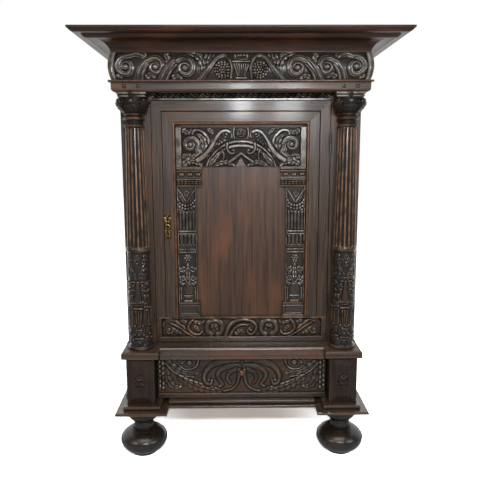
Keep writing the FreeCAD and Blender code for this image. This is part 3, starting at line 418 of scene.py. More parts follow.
finishes["peg", "deep"] = oak("oak_peg", "deep", **SHAFT, wear_and_highlight=0.0, rough=(0.15, 0.2), coat=1.0,
                              polish=0.05)
finishes["die", "upright"] = oak("oak_die", "upright", **DIE, wear_and_highlight=0.3, rough=(0.34, 0.46), coat=0.05,
                                 shine=0.3)
finishes["field", "upright"] = oak("oak_field", "upright", **FIELD, rough=(0.38, 0.5), coat=0.08,
                                   polish=0.3, shine=0.4)
finishes["shaft", "upright"] = oak("oak_shaft", "upright", **SHAFT, wear_and_highlight=1.0)
finishes["fluted", "upright"] = oak("oak_fluted", "upright", **SHAFT, wear_and_highlight=0.9, carved=True)
finishes["capital", "upright"] = oak("oak_capital", "upright", **BLACK, worn_and_highlit=WORN, wear_and_highlight=0.5, coat=0.05,
                                     shine=0.2, carved=True)
finishes["drum", "upright"] = oak("oak_drum", "upright", **BLACK, worn_and_highlit=MELLOW, wear_and_highlight=0.4, rough=(0.26, 0.36),
                                  coat=0.8, shine=0.15, carved=True)
print("oak finishes:", len(finishes))

# %% [markdown]
# The escutcheon is cast brass: hands keep its raised ornament bright, and its ground has gone brown.
# The hinges and lock are dark oiled iron. Both are metals, so the colour goes in Base Color with
# Metallic at 1, and noise breaks up the shine. How far a point lies behind the front of the cast
# ornament decides between bright and brown.

# %% Metal finishes
CAST_RELIEF = 0.0018


def metal(name, bright, dull, rough, front_y=1.0):
    """A metal that is dull in clouds, and dull wherever it lies well behind front_y."""
    material = bpy.data.materials.new(name)
    material.use_nodes = True
    tree = material.node_tree
    shader = tree.nodes["Principled BSDF"]
    shader.inputs["Metallic"].default_value = 1.0
    where = place(tree, "ShaderNodeTexCoord")
    cloud = place(tree, "ShaderNodeTexNoise", {"Scale": 120.0, "Detail": 4.0})
    spread = place(tree, "ShaderNodeMapRange", {"From Min": 0.4, "From Max": 0.7})
    parts = place(tree, "ShaderNodeSeparateXYZ")
    sunk = place(tree, "ShaderNodeMapRange", {"From Min": front_y, "From Max": front_y + CAST_RELIEF})
    browned = place(tree, "ShaderNodeMath", operation="MAXIMUM")
    tone = place(tree, "ShaderNodeMix", {6: (*bright, 1), 7: (*dull, 1)}, data_type="RGBA")
    gloss = place(tree, "ShaderNodeMapRange", {"To Min": rough[0], "To Max": rough[1]})
    join(tree,
         (where.outputs["Object"], cloud.inputs["Vector"]), (cloud.outputs["Fac"], spread.inputs["Value"]),
         (where.outputs["Object"], parts.inputs[0]), (parts.outputs["Y"], sunk.inputs["Value"]),
         (spread.outputs[0], browned.inputs[0]), (sunk.outputs[0], browned.inputs[1]),
         (browned.outputs[0], tone.inputs["Factor"]), (browned.outputs[0], gloss.inputs["Value"]),
         (tone.outputs[2], shader.inputs["Base Color"]), (gloss.outputs[0], shader.inputs["Roughness"]))
    return material


ornament_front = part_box("escutcheon")[0].y
brass = metal("aged_brass", (0.5, 0.34, 0.14), (0.035, 0.02, 0.011), (0.3, 0.5), front_y=ornament_front)
iron = metal("oiled_iron", (0.10, 0.095, 0.09), (0.045, 0.038, 0.032), (0.35, 0.6))
print("metals:", brass.name, iron.name)

# %% [markdown]
# Each CAD board now takes a finish with the grain along its own length: upright on posts and stiles,
# level on rails and mouldings, and front to back on the sides of the crown. Boards that are replaced
# later by carvings take a finish too, so nothing is left bare. The frame of the door has edges that are
# eased by sanding and use, and they catch the light. A CAD mesh is split along its edges, so a Weld
# modifier joins it first and a Bevel modifier then rounds it; the CAD points stay where they are.

# %% Finish of each CAD node
FINISH_OF = {
    ("front", "upright"): ["side_panels_left", "side_panels_right"],
    ("front", "level"): ["base_moulding", "base_blocks", "waist_moulding"],
    ("frame", "upright"): ["post_front_left", "post_front_right", "post_rear_left", "post_rear_right",
                           "door_stile_left", "door_stile_right", "pilasters"],
    ("frame", "level"): ["lintel", "architrave", "door_rail_top", "door_rail_bottom", "arch_board",
                         "drawer_front", "pedestal_cap_left", "pedestal_cap_right"],
    ("bead", "upright"): ["panel_bead"],
    ("front", "deep"): ["side_rails_left", "side_rails_right"],
    ("peg", "deep"): ["architrave_pegs"],
    ("polished", "level"): ["bead_moulding"],
    ("knob", "level"): ["drawer_knob"],
    ("crown", "level"): ["cornice"],
    ("crown", "deep"): ["frieze_sides"],
    ("die", "upright"): ["pedestal_left", "pedestal_right", "pedestal_masks"],
    ("black", "upright"): ["feet_front", "feet_rear", "capital_left", "capital_right", "column_drum_left",
                           "column_drum_right"],
    ("black", "level"): ["frieze_front"],
    ("dry", "upright"): ["back_boards"],
    ("dry", "level"): ["base_board", "waist_board", "top_board", "shelves", "cornice_boards",
                       "drawer_bottom"],
    ("dry", "deep"): ["shelf_battens", "drawer_runners", "drawer_box"],
    ("field", "upright"): ["door_panel"],
    ("shaft", "upright"): ["column_shaft_left", "column_shaft_right"],
}
METAL_OF = [
    (brass, ["escutcheon"]),
    (iron, ["lock_case", "lock_bolt", "strike_plate", "hinge_leaves_post", "hinge_leaves_door",
            "hinge_pins"]),
]
EASED = ["door_stile_left", "door_stile_right", "door_rail_top"]
EASED_WIDTH = 1.2
WELD_GAP = 0.01
EDGE_ANGLE = math.radians(40)


def give(node_name, material):
    """Put one material on a CAD node."""
    mesh = nodes[node_name].data
    mesh.materials.clear()
    mesh.materials.append(material)


def ease_edges(node_name, width):
    """Round a CAD node's sharp edges a little, as sanding and use do. Width is in mm."""
    weld = nodes[node_name].modifiers.new("weld", "WELD")
    weld.merge_threshold = WELD_GAP * MM
    bevel = nodes[node_name].modifiers.new("eased", "BEVEL")
    bevel.width = width * MM
    bevel.segments = 4
    bevel.limit_method = "ANGLE"
    bevel.angle_limit = EDGE_ANGLE
    bevel.use_clamp_overlap = True


finished = set()
for finish, names in FINISH_OF.items():
    for name in names:
        give(name, finishes[finish])
        finished.add(name)
for material, names in METAL_OF:
    for name in names:
        give(name, material)
        finished.add(name)
for name in EASED:
    ease_edges(name, EASED_WIDTH)
print("CAD nodes with a finish:", len(finished), "of", len(nodes), "with eased edges:", len(EASED))

# %% [markdown]
# Carving is drawn as a field of heights over a sunk ground. Sculpting by hand can't be repeated, and a
# displacement picture would need a file, so each strap, leaf and boss is laid by a formula along a
# line. A new form cuts a narrow channel round itself, so that it stands clear of what it crosses, as
# a carver's V tool does.

# %% Relief field
CHANNEL_SHARE = 0.3


class Relief:
    """Heights in mm over the lowest cuts of a carving, on an even grid: u runs across and v up."""

    def __init__(self, u_range, v_range, pitch, ground=0.0):
        columns = round((u_range[1] - u_range[0]) / pitch) + 1
        rows = round((v_range[1] - v_range[0]) / pitch) + 1
        self.u, self.v = np.meshgrid(np.linspace(*u_range, columns), np.linspace(*v_range, rows))
        self.height = np.full(self.u.shape, float(ground))

    def window(self, path, reach):
        """Rows and columns of the grid within reach of a path."""
        low, high = path.min(0) - reach, path.max(0) + reach
        columns = np.searchsorted(self.u[0], (low[0], high[0]))
        rows = np.searchsorted(self.v[:, 0], (low[1], high[1]))
        return slice(*rows), slice(*columns)

    def measure(self, path, where):
        """Distance from a path, share of its length at the nearest point, and the side of the path."""
        u, v = self.u[where], self.v[where]
        best, along, side = np.full(u.shape, np.inf), np.zeros(u.shape), np.zeros(u.shape)
        steps = np.diff(path, axis=0)
        lengths = np.maximum(np.hypot(steps[:, 0], steps[:, 1]), 1e-6)
        passed = np.concatenate([[0], np.cumsum(lengths)])
        for index, (step, length) in enumerate(zip(steps, lengths)):
            across, up = u - path[index, 0], v - path[index, 1]
            share = np.clip((across * step[0] + up * step[1]) / length ** 2, 0, 1)
            gap = (across - share * step[0]) ** 2 + (up - share * step[1]) ** 2
            nearer = gap < best
            best = np.where(nearer, gap, best)
            along = np.where(nearer, (passed[index] + share * length) / passed[-1], along)
            side = np.where(nearer, np.sign(step[0] * up - step[1] * across), side)
        return np.sqrt(best), along, side

    def lay(self, where, form, outside, cut):
        """Lay a form over the carving, with a narrow cut round it that leaves a share of the height."""
        area = self.height[where]
        near = (outside > 0) & (outside < cut)
        area[near] *= CHANNEL_SHARE
        inside = outside <= 0
        area[inside] = np.maximum(form, CHANNEL_SHARE * area)[inside]

    def mirror(self):
        """Copy what is carved on the left half to the right half."""
        left = self.u < 0
        self.height = np.where(left, self.height, self.height[:, ::-1])


def soften(heights, times=1):
    """A light blur, repeated."""
    for _ in range(times):
        for _ in (0, 1):
            padded = np.pad(heights, ((1, 1), (0, 0)), mode="edge")
            heights = (0.5 * padded[1:-1] + 0.25 * (padded[:-2] + padded[2:])).T
    return heights


print("blur keeps a flat field:", float(soften(np.ones((3, 3))).max()))

# %% [markdown]
# All the ornament comes from a few lines: a smooth line through chosen points, an arc, and a spiral
# that winds in. Along them run straps (stems and scrolls) and acanthus leaves with lobes and veins.
# Bosses are the eyes, berries and beads, fillets are the flat bands, and the lion masks have a formula
# of their own.

# %% Lines and forms
def flow(*points, steps=10):
    """A smooth line through points."""
    given = np.array(points, float)
    padded = np.vstack([2 * given[0] - given[1], given, 2 * given[-1] - given[-2]])
    share = np.linspace(0, 1, steps, endpoint=False)[:, None]
    line = []
    for a, b, c, d in zip(padded[:-3], padded[1:-2], padded[2:-1], padded[3:]):
        line.append(0.5 * (2 * b + (c - a) * share + (2 * a - 5 * b + 4 * c - d) * share ** 2
                           + (3 * b - a - 3 * c + d) * share ** 3))
    return np.vstack([*line, given[-1:]])


def arc(centre, radius, start, end, steps=40):
    """Part of a circle, between two angles in degrees."""
    angle = np.radians(np.linspace(start, end, steps))
    return np.column_stack([centre[0] + radius * np.cos(angle), centre[1] + radius * np.sin(angle)])


def spiral(centre, outer, inner, start, turns):
    """A line that winds in; positive turns go anticlockwise."""
    share = np.linspace(0, 1, int(26 * abs(turns)) + 2)
    radius = outer + (inner - outer) * share ** 0.85
    angle = math.radians(start) + 2 * math.pi * turns * share
    return np.column_stack([centre[0] + radius * np.cos(angle), centre[1] + radius * np.sin(angle)])


def strap(relief, path, width, height, end_width=None, hollow=0.0, cut=2.0, reeds=0):
    """A rounded strap along a path, with an optional hollow down its middle or reeds."""
    end_width = width if end_width is None else end_width
    where = relief.window(path, max(width, end_width) / 2 + cut)
    gap, along, side = relief.measure(path, where)
    half = (width + (end_width - width) * along) / 2
    across = np.clip(gap / half, 0, 1)
    form = height * np.sqrt(1 - across ** 2) ** 0.7 - hollow * np.exp(-(across / 0.45) ** 2)
    if reeds:
        form = form * (0.8 + 0.2 * np.cos(math.pi * reeds * across * side))
    relief.lay(where, form, gap - half, cut)


def leaf(relief, path, width, height, lobes=5, cut=2.0, one_sided=0):
    """An acanthus leaf along a path: lobed edges, a groove down the middle and a rib to each lobe."""
    where = relief.window(path, width / 2 + cut)
    gap, along, side = relief.measure(path, where)
    swell = np.sin(math.pi * np.clip(along, 0.02, 1) ** 0.7) ** 0.6
    wave = np.abs(np.sin(math.pi * (along * lobes - 0.5 * gap / width)))
    lobed = 0.66 + 0.34 * wave
    if one_sided:
        lobed = np.where(side == one_sided, lobed, 0.7)
    half = np.maximum(width / 2 * swell * lobed, 0.5)
    across = np.clip(gap / half, 0, 1)
    groove = np.exp(-(gap / (0.05 * width + 0.7)) ** 2)
    form = height * ((0.66 + 0.34 * wave) * np.sqrt(1 - across ** 2) ** 0.6 - 0.4 * groove)
    relief.lay(where, np.maximum(form, 0.15 * height), gap - half, cut)


def boss(relief, centre, radius, height, stretch=1.0, cut=1.5):
    """A rounded knob: an eye, a berry or a bead."""
    where = relief.window(np.array([centre], float), radius * max(1, stretch) + cut)
    gap = np.hypot(relief.u[where] - centre[0], (relief.v[where] - centre[1]) / stretch)
    form = height * np.sqrt(np.clip(1 - (gap / radius) ** 2, 0, 1))
    relief.lay(where, form, gap - radius, cut)


def flower(relief, centre, radius, height, petals=6):
    """A flat rosette with a raised eye."""
    where = relief.window(np.array([centre], float), radius + 2)
    across, up = relief.u[where] - centre[0], relief.v[where] - centre[1]
    gap, angle = np.hypot(across, up), np.arctan2(up, across)
    wave = np.abs(np.cos(angle * petals / 2))
    edge = radius * (0.76 + 0.24 * wave)
    form = height * (0.45 + 0.55 * wave) * np.sqrt(np.clip(1 - (gap / edge - 0.55) ** 2 / 0.21, 0, 1))
    relief.lay(where, form, gap - edge, 2.0)
    boss(relief, centre, 0.3 * radius, height)


def scroll(relief, tail, centre, radius, start, turns, width, height):
    """A stem that ends in a volute round an eye."""
    coil = spiral(centre, radius, 0.24 * radius, start, turns)
    path = np.vstack([flow(*tail, tuple(coil[0]))[:-1], coil]) if tail else coil
    strap(relief, path, width, height, end_width=0.6 * width, reeds=2)
    boss(relief, centre, 0.3 * radius, height)


def fillet(relief, u_range, v_range, height):
    """A flat raised band with square edges."""
    inside = (relief.u >= u_range[0]) & (relief.u <= u_range[1])
    inside &= (relief.v >= v_range[0]) & (relief.v <= v_range[1])
    relief.height[inside] = height


def mask_height(x, y):
    """Heights, 0 to 1, of a grotesque lion mask over a unit oval: mane, brows, nose and muzzle."""
    def bump(across, up, wide, tall):
        return np.exp(-((x - across) / wide) ** 2 - ((y - up) / tall) ** 2)

    span, angle = np.hypot(x, y), np.arctan2(y, x)
    mane = 0.26 * np.exp(-((span - 0.82) / 0.16) ** 2) * (0.5 + 0.5 * np.cos(9 * (angle - math.pi / 2)))
    dome = 0.55 * np.sqrt(np.clip(1 - span ** 2, 0, 1))
    x = np.abs(x)
    brows = 0.34 * bump(0.30, 0.36, 0.26, 0.12)
    eyes = 0.14 * bump(0.30, 0.12, 0.09, 0.07) - 0.42 * bump(0.32, 0.12, 0.20, 0.14)
    nose = 0.42 * bump(0.0, -0.02, 0.14, 0.32) + 0.22 * bump(0.14, -0.22, 0.11, 0.09)
    muzzle = 0.38 * bump(0.22, -0.40, 0.20, 0.14) + 0.26 * bump(0.0, -0.74, 0.22, 0.10)
    mouth = -0.46 * bump(0.0, -0.58, 0.32, 0.07)
    return np.clip(mane + dome + brows + eyes + nose + muzzle + mouth, 0, 1.2)


print("points on a test scroll:", len(spiral((0, 0), 10, 2, 0, 1.5)))

# %% [markdown]
# A finished relief becomes a closed mesh: the carved face, four walls and a flat back. The heights
# above and below their surroundings are stored on the vertices for the shader, which shows wear and a
# painted highlight on what stands up, and dirt and painted shade in what lies low. Smooth shading
# with sharp edges at steep corners keeps the tool cuts crisp. Round pieces are closed tubes: rings of
# points, with a fan over each end.

# %% Relief to mesh
SHARP_ANGLE = math.radians(55)
SURROUND_BLURS = 16
FULL_WEAR_RISE = 0.22
HOLLOW_GAIN = 1.3
DIRT_AND_SHADE_TOP = 0.4
BROAD_TOP_START = 0.7
BROAD_TOP_WEAR_AND_HIGHLIGHT = 0.35
randoms = np.random.default_rng(7)


def wear_highlight_and_shade_marks(heights, level, dirt_and_shade=0.9):
    """For each point, how far it stands above and lies below its surroundings, as two shares.

    dirt_and_shade is the share of darkness on the lowest ground, dirt and painted shade, and level is the
    height of the plain face. Raised points and broad tops take the worn tone, on pale carvings also a
    painted highlight.
    """
    rise = (heights - soften(heights, SURROUND_BLURS)) / (FULL_WEAR_RISE * level)
    # The low ground and what lies below its surroundings are darkened: dirt, and painted shade in the
    # recesses.
    ground = dirt_and_shade * np.clip(1 - heights / (DIRT_AND_SHADE_TOP * level), 0, 1)
    hollow = np.maximum(np.clip(-HOLLOW_GAIN * rise, 0, 1), ground)
    # Broad flat tops take a share of the worn tone: wear, and on pale carvings a painted highlight.
    broad = (heights - BROAD_TOP_START * level) / ((1 - BROAD_TOP_START) * level)
    top = BROAD_TOP_WEAR_AND_HIGHLIGHT * np.clip(broad, 0, 1)
    ridge = np.maximum(np.clip(rise, 0, 1) ** 1.5, top)
    return np.column_stack([ridge.ravel(), hollow.ravel()])


def tool_marks(relief, level):
    """Soften the cuts and leave the ground a little uneven, as a gouge does."""
    marks = soften(randoms.normal(0.0, 1.0, relief.height.shape), 3)
    relief.height = soften(relief.height) + 0.25 * marks * np.clip(1 - relief.height / level, 0.15, 1)


def grid_faces(rows, columns, wrap=False):
    """Quads of a grid of points, row by row; wrap joins the last column to the first."""
    index = np.arange(rows * columns).reshape(rows, columns)
    right = np.roll(index, -1, axis=1)
    count = columns if wrap else columns - 1
    quads = np.stack([index[:-1, :count], right[:-1, :count], right[1:, :count], index[1:, :count]], axis=-1)
    return quads.reshape(-1, 4).tolist()


def closed_board(front, back):
    """Points and faces of a board: a carved front grid, walls round it and a flat back."""
    rows, columns = front.shape[:2]
    index = np.arange(rows * columns).reshape(rows, columns)
    rim = np.concatenate([index[0, :-1], index[:-1, -1], index[-1, :0:-1], index[:0:-1, 0]])
    rim_back = back.reshape(-1, 3)[rim]
    first = rows * columns
    points = np.vstack([front.reshape(-1, 3), rim_back, rim_back.mean(0)])
    faces = grid_faces(rows, columns)
    middle = len(points) - 1
    for here, start in enumerate(rim):
        after = (here + 1) % len(rim)
        faces.append([int(start), first + here, first + after, int(rim[after])])
        faces.append([first + here, middle, first + after])
    return points, faces


def closed_tube(rings):
    """Points and faces of a skin over rings of points, with a fan over each end ring."""
    count, size = rings.shape[:2]
    points = np.vstack([rings.reshape(-1, 3), rings[0].mean(0), rings[-1].mean(0)])
    faces = grid_faces(count, size, wrap=True)
    last, low, high = (count - 1) * size, count * size, count * size + 1
    for here in range(size):
        after = (here + 1) % size
        faces.append([after, here, low])
        faces.append([last + here, last + after, high])
    return points, faces


def shell(points_and_faces, marks=None):
    """A closed skin with its wear marks, padded with zeros for the points that have none."""
    points, faces = points_and_faces
    whole = np.zeros((len(points), 2))
    if marks is not None:
        whole[:len(marks)] = marks
    return points, faces, whole


def carved_board(relief, level, low, high, dirt_and_shade=0.9):
    """A flat board inside a box: its plain face is the box's front, and the relief is cut into it."""
    across, up = relief.u * MM, (relief.v + low[2]) * MM
    front = np.stack([across, (low[1] + level - relief.height) * MM, up], axis=-1)
    back = np.stack([across, np.full(across.shape, high[1] * MM), up], axis=-1)
    return shell(closed_board(front, back), wear_highlight_and_shade_marks(relief.height, level, dirt_and_shade))


def make_piece(name, shells, material, body, *replaced, slot="dark_oak"):
    """One mesh object from closed skins. It rides on a body and stands for CAD nodes."""
    points, faces, marks, first = [], [], [], 0
    for shell_points, shell_faces, shell_marks in shells:
        points.append(shell_points)
        faces += [[first + corner for corner in face] for face in shell_faces]
        marks.append(shell_marks)
        first += len(shell_points)
    mesh = bpy.data.meshes.new(name)
    mesh.from_pydata(np.vstack(points).tolist(), [], faces)
    for label, values in zip(("ridge", "hollow"), np.vstack(marks).T):
        attribute = mesh.attributes.new(label, "FLOAT", "POINT")
        attribute.data.foreach_set("value", np.ascontiguousarray(values, np.float32))
    skin = bmesh.new()
    skin.from_mesh(mesh)
    bmesh.ops.recalc_face_normals(skin, faces=skin.faces)
    skin.to_mesh(mesh)
    skin.free()
    mesh.shade_smooth()
    mesh.set_sharp_from_angle(angle=SHARP_ANGLE)
    mesh.materials.append(material)
    piece = bpy.data.objects.new(name, mesh)
    scene.collection.objects.link(piece)
    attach(piece, body)
    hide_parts(*replaced)
    print(name, "vertices:", first)


def box_mm(node_name):
    """A CAD node's lowest and highest corners in mm."""
    low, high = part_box(node_name)
    return np.array(low) / MM, np.array(high) / MM


print("faces of a 3 by 3 board:", len(closed_board(np.zeros((3, 3, 3)), np.zeros((3, 3, 3)))[1]))

# %% [markdown]
# The drawer front carries a pair of mirrored volutes under its knob, garlands that swing down from the
# upper corners, and strings of beads at the ends, over a plain lower band. Only one half is drawn, and
# the other is its mirror image, as the carver's paper pattern would be turned over. Its middle is
# darker than its ends, so the worn marks, which are also painted highlights, fade towards the knob.

# %% Drawer front
BOARD_PITCH = 1.5


def draw_drawer(relief):
    """The left half of the drawer's ornament; v counts from the drawer's lower edge."""
    leaf(relief, flow((-322, 168), (-288, 132), (-250, 114), (-200, 104), (-176, 112)), 36, 6, lobes=6)
    strap(relief, flow((-326, 154), (-290, 116), (-252, 98), (-205, 90)), 9, 6)
    strap(relief, flow((-182, 172), (-190, 142), (-212, 126), (-242, 126), (-260, 140)), 14, 6.5,
          end_width=8, reeds=1)
    boss(relief, (-222, 154), 13, 7)
    leaf(relief, flow((-270, 170), (-250, 156), (-238, 168)), 20, 6, lobes=3)
    leaf(relief, flow((-322, 132), (-316, 86), (-294, 52), (-258, 42)), 40, 6, lobes=4)
    boss(relief, (-262, 48), 9, 7.5, stretch=0.8)
    leaf(relief, flow((-272, 92), (-215, 58), (-168, 38), (-118, 27), (-60, 30)), 46, 5.5, lobes=9)
    for share in np.linspace(0, 1, 8):
        u, v = -256 + 150 * share, 96 - 56 * share ** 0.8
        strap(relief, flow((u - 8, v + 3), (u + 8, v - 3)), 11, 8)
    strap(relief, flow((-4, 152), (-60, 159), (-112, 150), (-146, 124), (-160, 92), (-152, 64), (-134, 58),
                       (-128, 74)), 42, 7.5, end_width=16, reeds=1)
    boss(relief, (-141, 76), 7, 7)
    strap(relief, flow((-12, 138), (-62, 135), (-94, 116), (-102, 94), (-90, 70), (-82, 56), (-96, 46)),
          34, 6.5, end_width=14, reeds=1)
    strap(relief, flow((-24, 124), (-52, 108), (-62, 84), (-48, 60)), 26, 5.8, end_width=12, reeds=1)
    strap(relief, flow((-11, 120), (-13, 86), (-22, 56), (-44, 35), (-76, 27)), 19, 7, end_width=10, reeds=1)
    for bead in range(6):
        boss(relief, (-333, 152 - 22 * bead), 7, 7, stretch=1.5)
        boss(relief, (-347, 160 - 22 * bead), 5, 6.5, stretch=1.8)


def carve_drawer():
    low, high = box_mm("drawer_front")
    level, plain_band, height = 8.0, 19.0, high[2] - low[2]
    dark_middle, fade, band_wear_and_highlight = 20, 200, 0.1
    relief = Relief((low[0], high[0]), (0, height), BOARD_PITCH, ground=3.4)
    draw_drawer(relief)
    relief.mirror()
    boss(relief, (0, 155), 8, 8)
    fillet(relief, (low[0], high[0]), (0, plain_band), level)
    tool_marks(relief, level)
    points, faces, marks = carved_board(relief, level, low, high, dirt_and_shade=0.7)
    # The pale worn tone, wear and painted highlight, fades towards the knob and is faint on the lower band.
    rubbed_and_highlit = np.clip((np.abs(relief.u) - dark_middle) / fade, 0.3, 0.9)
    rubbed_and_highlit[relief.v < plain_band + 1] = band_wear_and_highlight
    marks[:relief.height.size, 0] *= rubbed_and_highlit.ravel()
    make_piece("drawer_carving", [(points, faces, marks)], finishes["drawer", "level"], "drawer",
               "drawer_front")


carve_drawer()

# %% [markdown]
# The door's bottom rail carries a running scroll: leafy stems at the ends, a horseshoe on each side
# and one breaking wave in the middle that curls to the right. The sides mirror each other, but the
# wave doesn't, so it's laid after the mirror. A flat fillet frames the sunk field: its upper length is
# rubbed light, and the others are dark.

# %% Bottom rail of the door
def draw_rail(relief):
    """The left half of the rail's ornament; v counts from the rail's lower edge."""
    leaf(relief, flow((-203, 22), (-236, 42), (-268, 70), (-292, 86), (-318, 90), (-333, 76), (-332, 54)),
         30, 7, lobes=5, one_sided=-1)
    strap(relief, flow((-200, 21), (-236, 38), (-270, 64), (-300, 80)), 9, 8)
    scroll(relief, [], (-310, 46), 17, 40, -1.1, 12, 7)
    leaf(relief, flow((-296, 58), (-282, 42), (-256, 30)), 20, 6.5, lobes=3)
    leaf(relief, flow((-262, 92), (-240, 82), (-232, 62)), 20, 6, lobes=3)
    strap(relief, flow((-208, 90), (-223, 76), (-226, 54), (-208, 34), (-182, 30), (-168, 42)), 18, 7.5,
          end_width=11, reeds=1)
    leaf(relief, flow((-208, 84), (-190, 84), (-170, 78), (-158, 90)), 18, 7, lobes=3)
    leaf(relief, flow((-204, 68), (-190, 54), (-182, 40)), 18, 6.5, lobes=3)
    strap(relief, arc((-116, 57), 33, 242, -62), 25, 7.5, reeds=1)
    leaf(relief, flow((-134, 56), (-118, 70), (-104, 60), (-106, 42)), 20, 6.5, lobes=3)


def draw_wave(relief):
    """The wave in the middle of the rail."""
    wave = flow((-68, 24), (-56, 58), (-30, 84), (6, 94), (42, 88), (62, 66), (57, 40), (38, 29), (24, 42),
                (34, 54))
    strap(relief, wave, 23, 8, end_width=12, reeds=1)
    strap(relief, flow((-50, 22), (-32, 52), (-6, 70), (26, 70)), 14, 6.5, end_width=9)
    boss(relief, (39, 46), 7, 7)
    leaf(relief, flow((-30, 26), (-6, 44), (16, 32)), 22, 6, lobes=4)


def carve_rail():
    low, high = box_mm("door_rail_bottom")
    level, height, field_half, field_low, field_high = 8.0, high[2] - low[2], 341, 19.5, 99.0
    dark_marks, light_marks = (0.1, 0.0), (0.9, 0.0)
    relief = Relief((low[0], high[0]), (0, height), BOARD_PITCH, ground=1.5)
    draw_rail(relief)
    relief.mirror()
    draw_wave(relief)
    fillet(relief, (low[0], high[0]), (0, field_low), level)
    fillet(relief, (low[0], high[0]), (field_high, height), level)
    fillet(relief, (low[0], -field_half), (0, height), level)
    fillet(relief, (field_half, high[0]), (0, height), level)
    tool_marks(relief, level)
    points, faces, marks = carved_board(relief, level, low, high, dirt_and_shade=0.4)
    flat = (relief.v < field_low - 1) | (np.abs(relief.u) > field_half + 1)
    marks[:relief.height.size][flat.ravel()] = dark_marks
    marks[:relief.height.size][(relief.v > field_high + 1).ravel()] = light_marks
    make_piece("bottom_rail_carving", [(points, faces, marks)], finishes["carved_warm", "level"], "door",
               "door_rail_bottom")


carve_rail()

# %% [markdown]
# The arch board over the panel has a double rim arch, a scroll and a curled leaf in each spandrel, a
# long acanthus leaf that rides over the arch on each side, a strapwork cartouche under it and a small
# grotesque mask as keystone. The board's lower middle is cut back nearly to the panel in a point. The
# proud tops get the brightest worn tone, which is wear and a painted highlight, what lies under the arch
# is dull, and the keystone mask is painted in shade.

# %% Arch board
ARCH_CENTRE = (0, -46)


def draw_arch(relief):
    """The left half of the arch board; v counts from its lower edge."""
    strap(relief, arc(ARCH_CENTRE, 148, 90, 163), 9, 6.5)
    strap(relief, arc(ARCH_CENTRE, 133, 90, 160), 11, 6)
    scroll(relief, [(-196, 34), (-168, 56)], (-206, 88), 35, -35, 1.25, 24, 6.5)
    leaf(relief, flow((-240, 150), (-218, 136), (-196, 146)), 26, 5.5, lobes=4)
    leaf(relief, flow((-242, 44), (-226, 40), (-204, 48)), 30, 5.5, lobes=4)
    strap(relief, flow((-140, 56), (-129, 90), (-140, 122), (-164, 144), (-190, 144), (-197, 131)), 15, 6.5,
          end_width=10, hollow=1.5)
    leaf(relief, flow((-152, 62), (-150, 92), (-160, 118), (-180, 130)), 32, 6, lobes=3)
    leaf(relief, flow((-136, 152), (-122, 142), (-112, 128)), 20, 5.5, lobes=3)
    leaf(relief, flow((-242, 4), (-214, 22), (-184, 20), (-156, 0)), 34, 6, lobes=5)
    strap(relief, flow((-206, 26), (-184, 22), (-158, -2)), 7, 6.5)
    for berry in range(9):
        column, row = berry % 3, berry // 3
        boss(relief, (-60 - 11 * column - 4 * row, 130 - 8 * column - 12 * row), 6.5, 5.5)
    leaf(relief, flow((-184, 20), (-148, 46), (-124, 75), (-104, 110), (-83, 136), (-61, 145), (-42, 138),
                      (-35, 122), (-47, 114)), 33, 6.5, lobes=8, one_sided=-1)
    rib = flow((-176, 26), (-146, 48), (-122, 77), (-102, 112), (-82, 137), (-62, 144), (-47, 138))
    strap(relief, rib, 22, 7.8, end_width=12, hollow=1.0)
    leaf(relief, flow((-132, 0), (-112, 26), (-84, 60)), 25, 5.5, lobes=2)
    strap(relief, flow((-78, 18), (-70, 42), (-77, 68)), 8, 6)
    leaf(relief, flow((-112, 2), (-64, 18), (-20, 0)), 22, 5.5, lobes=5)
    strap(relief, flow((0, 101), (-28, 99), (-54, 92)), 10, 7)
    strap(relief, flow((0, 83), (-26, 82), (-47, 77)), 12, 6, hollow=1.0)
    strap(relief, flow((-56, 92), (-57, 70), (-44, 54), (-30, 54), (-28, 64)), 11, 6.5, end_width=7)
    boss(relief, (-31, 66), 6, 5)
    strap(relief, flow((-2, 52), (-20, 38), (-48, 18)), 13, 6)
    strap(relief, flow((-27, 160), (-30, 134), (-27, 112)), 6, 5.5)


def carve_arch():
    low, high = box_mm("arch_board")
    level, height, strip, mask_half = 6.5, high[2] - low[2], 243, (22, 21)
    point, point_floor, dull_radius = (24, 40), -3.0, 126
    relief = Relief((low[0], high[0]), (0, height), BOARD_PITCH * 0.8)
    draw_arch(relief)
    relief.mirror()
    across, up = relief.u / mask_half[0], (relief.v - height + mask_half[1] + 1) / mask_half[1]
    on_mask = np.hypot(across, up) < 1
    mask = level * 1.1 * mask_height(across, up)
    relief.height = np.where(on_mask, mask, relief.height)
    cut_back = np.abs(relief.u) / point[0] + relief.v / point[1] < 1
    relief.height[cut_back] = point_floor
    fillet(relief, (low[0], -strip), (0, height), level)
    fillet(relief, (strip, high[0]), (0, height), level)
    tool_marks(relief, level)
    points, faces, marks = carved_board(relief, level, low, high)
    carved = marks[:relief.height.size]
    # Proud tops get the pale worn tone: wear, and a painted highlight.
    proud = np.clip((relief.height - 0.85 * level) / (0.25 * level), 0, 1)
    carved[:, 0] = np.maximum(carved[:, 0], 0.8 * proud.ravel())
    # Under the arch the pale worn tone and painted highlight are weaker.
    under_arch = np.hypot(relief.u - ARCH_CENTRE[0], relief.v - ARCH_CENTRE[1]) < dull_radius
    carved[under_arch.ravel(), 0] *= 0.45
    # The keystone mask is painted in shade.
    carved[on_mask.ravel()] = (0.1, 0.45)
    # The cut-back point gets no painted shade and a little of the pale tone, like the panel it nearly
    # reaches.
    carved[cut_back.ravel()] = (0.25, 0.0)
    make_piece("arch_carving", [(points, faces, marks)], finishes["carved", "level"], "door", "arch_board")


carve_arch()

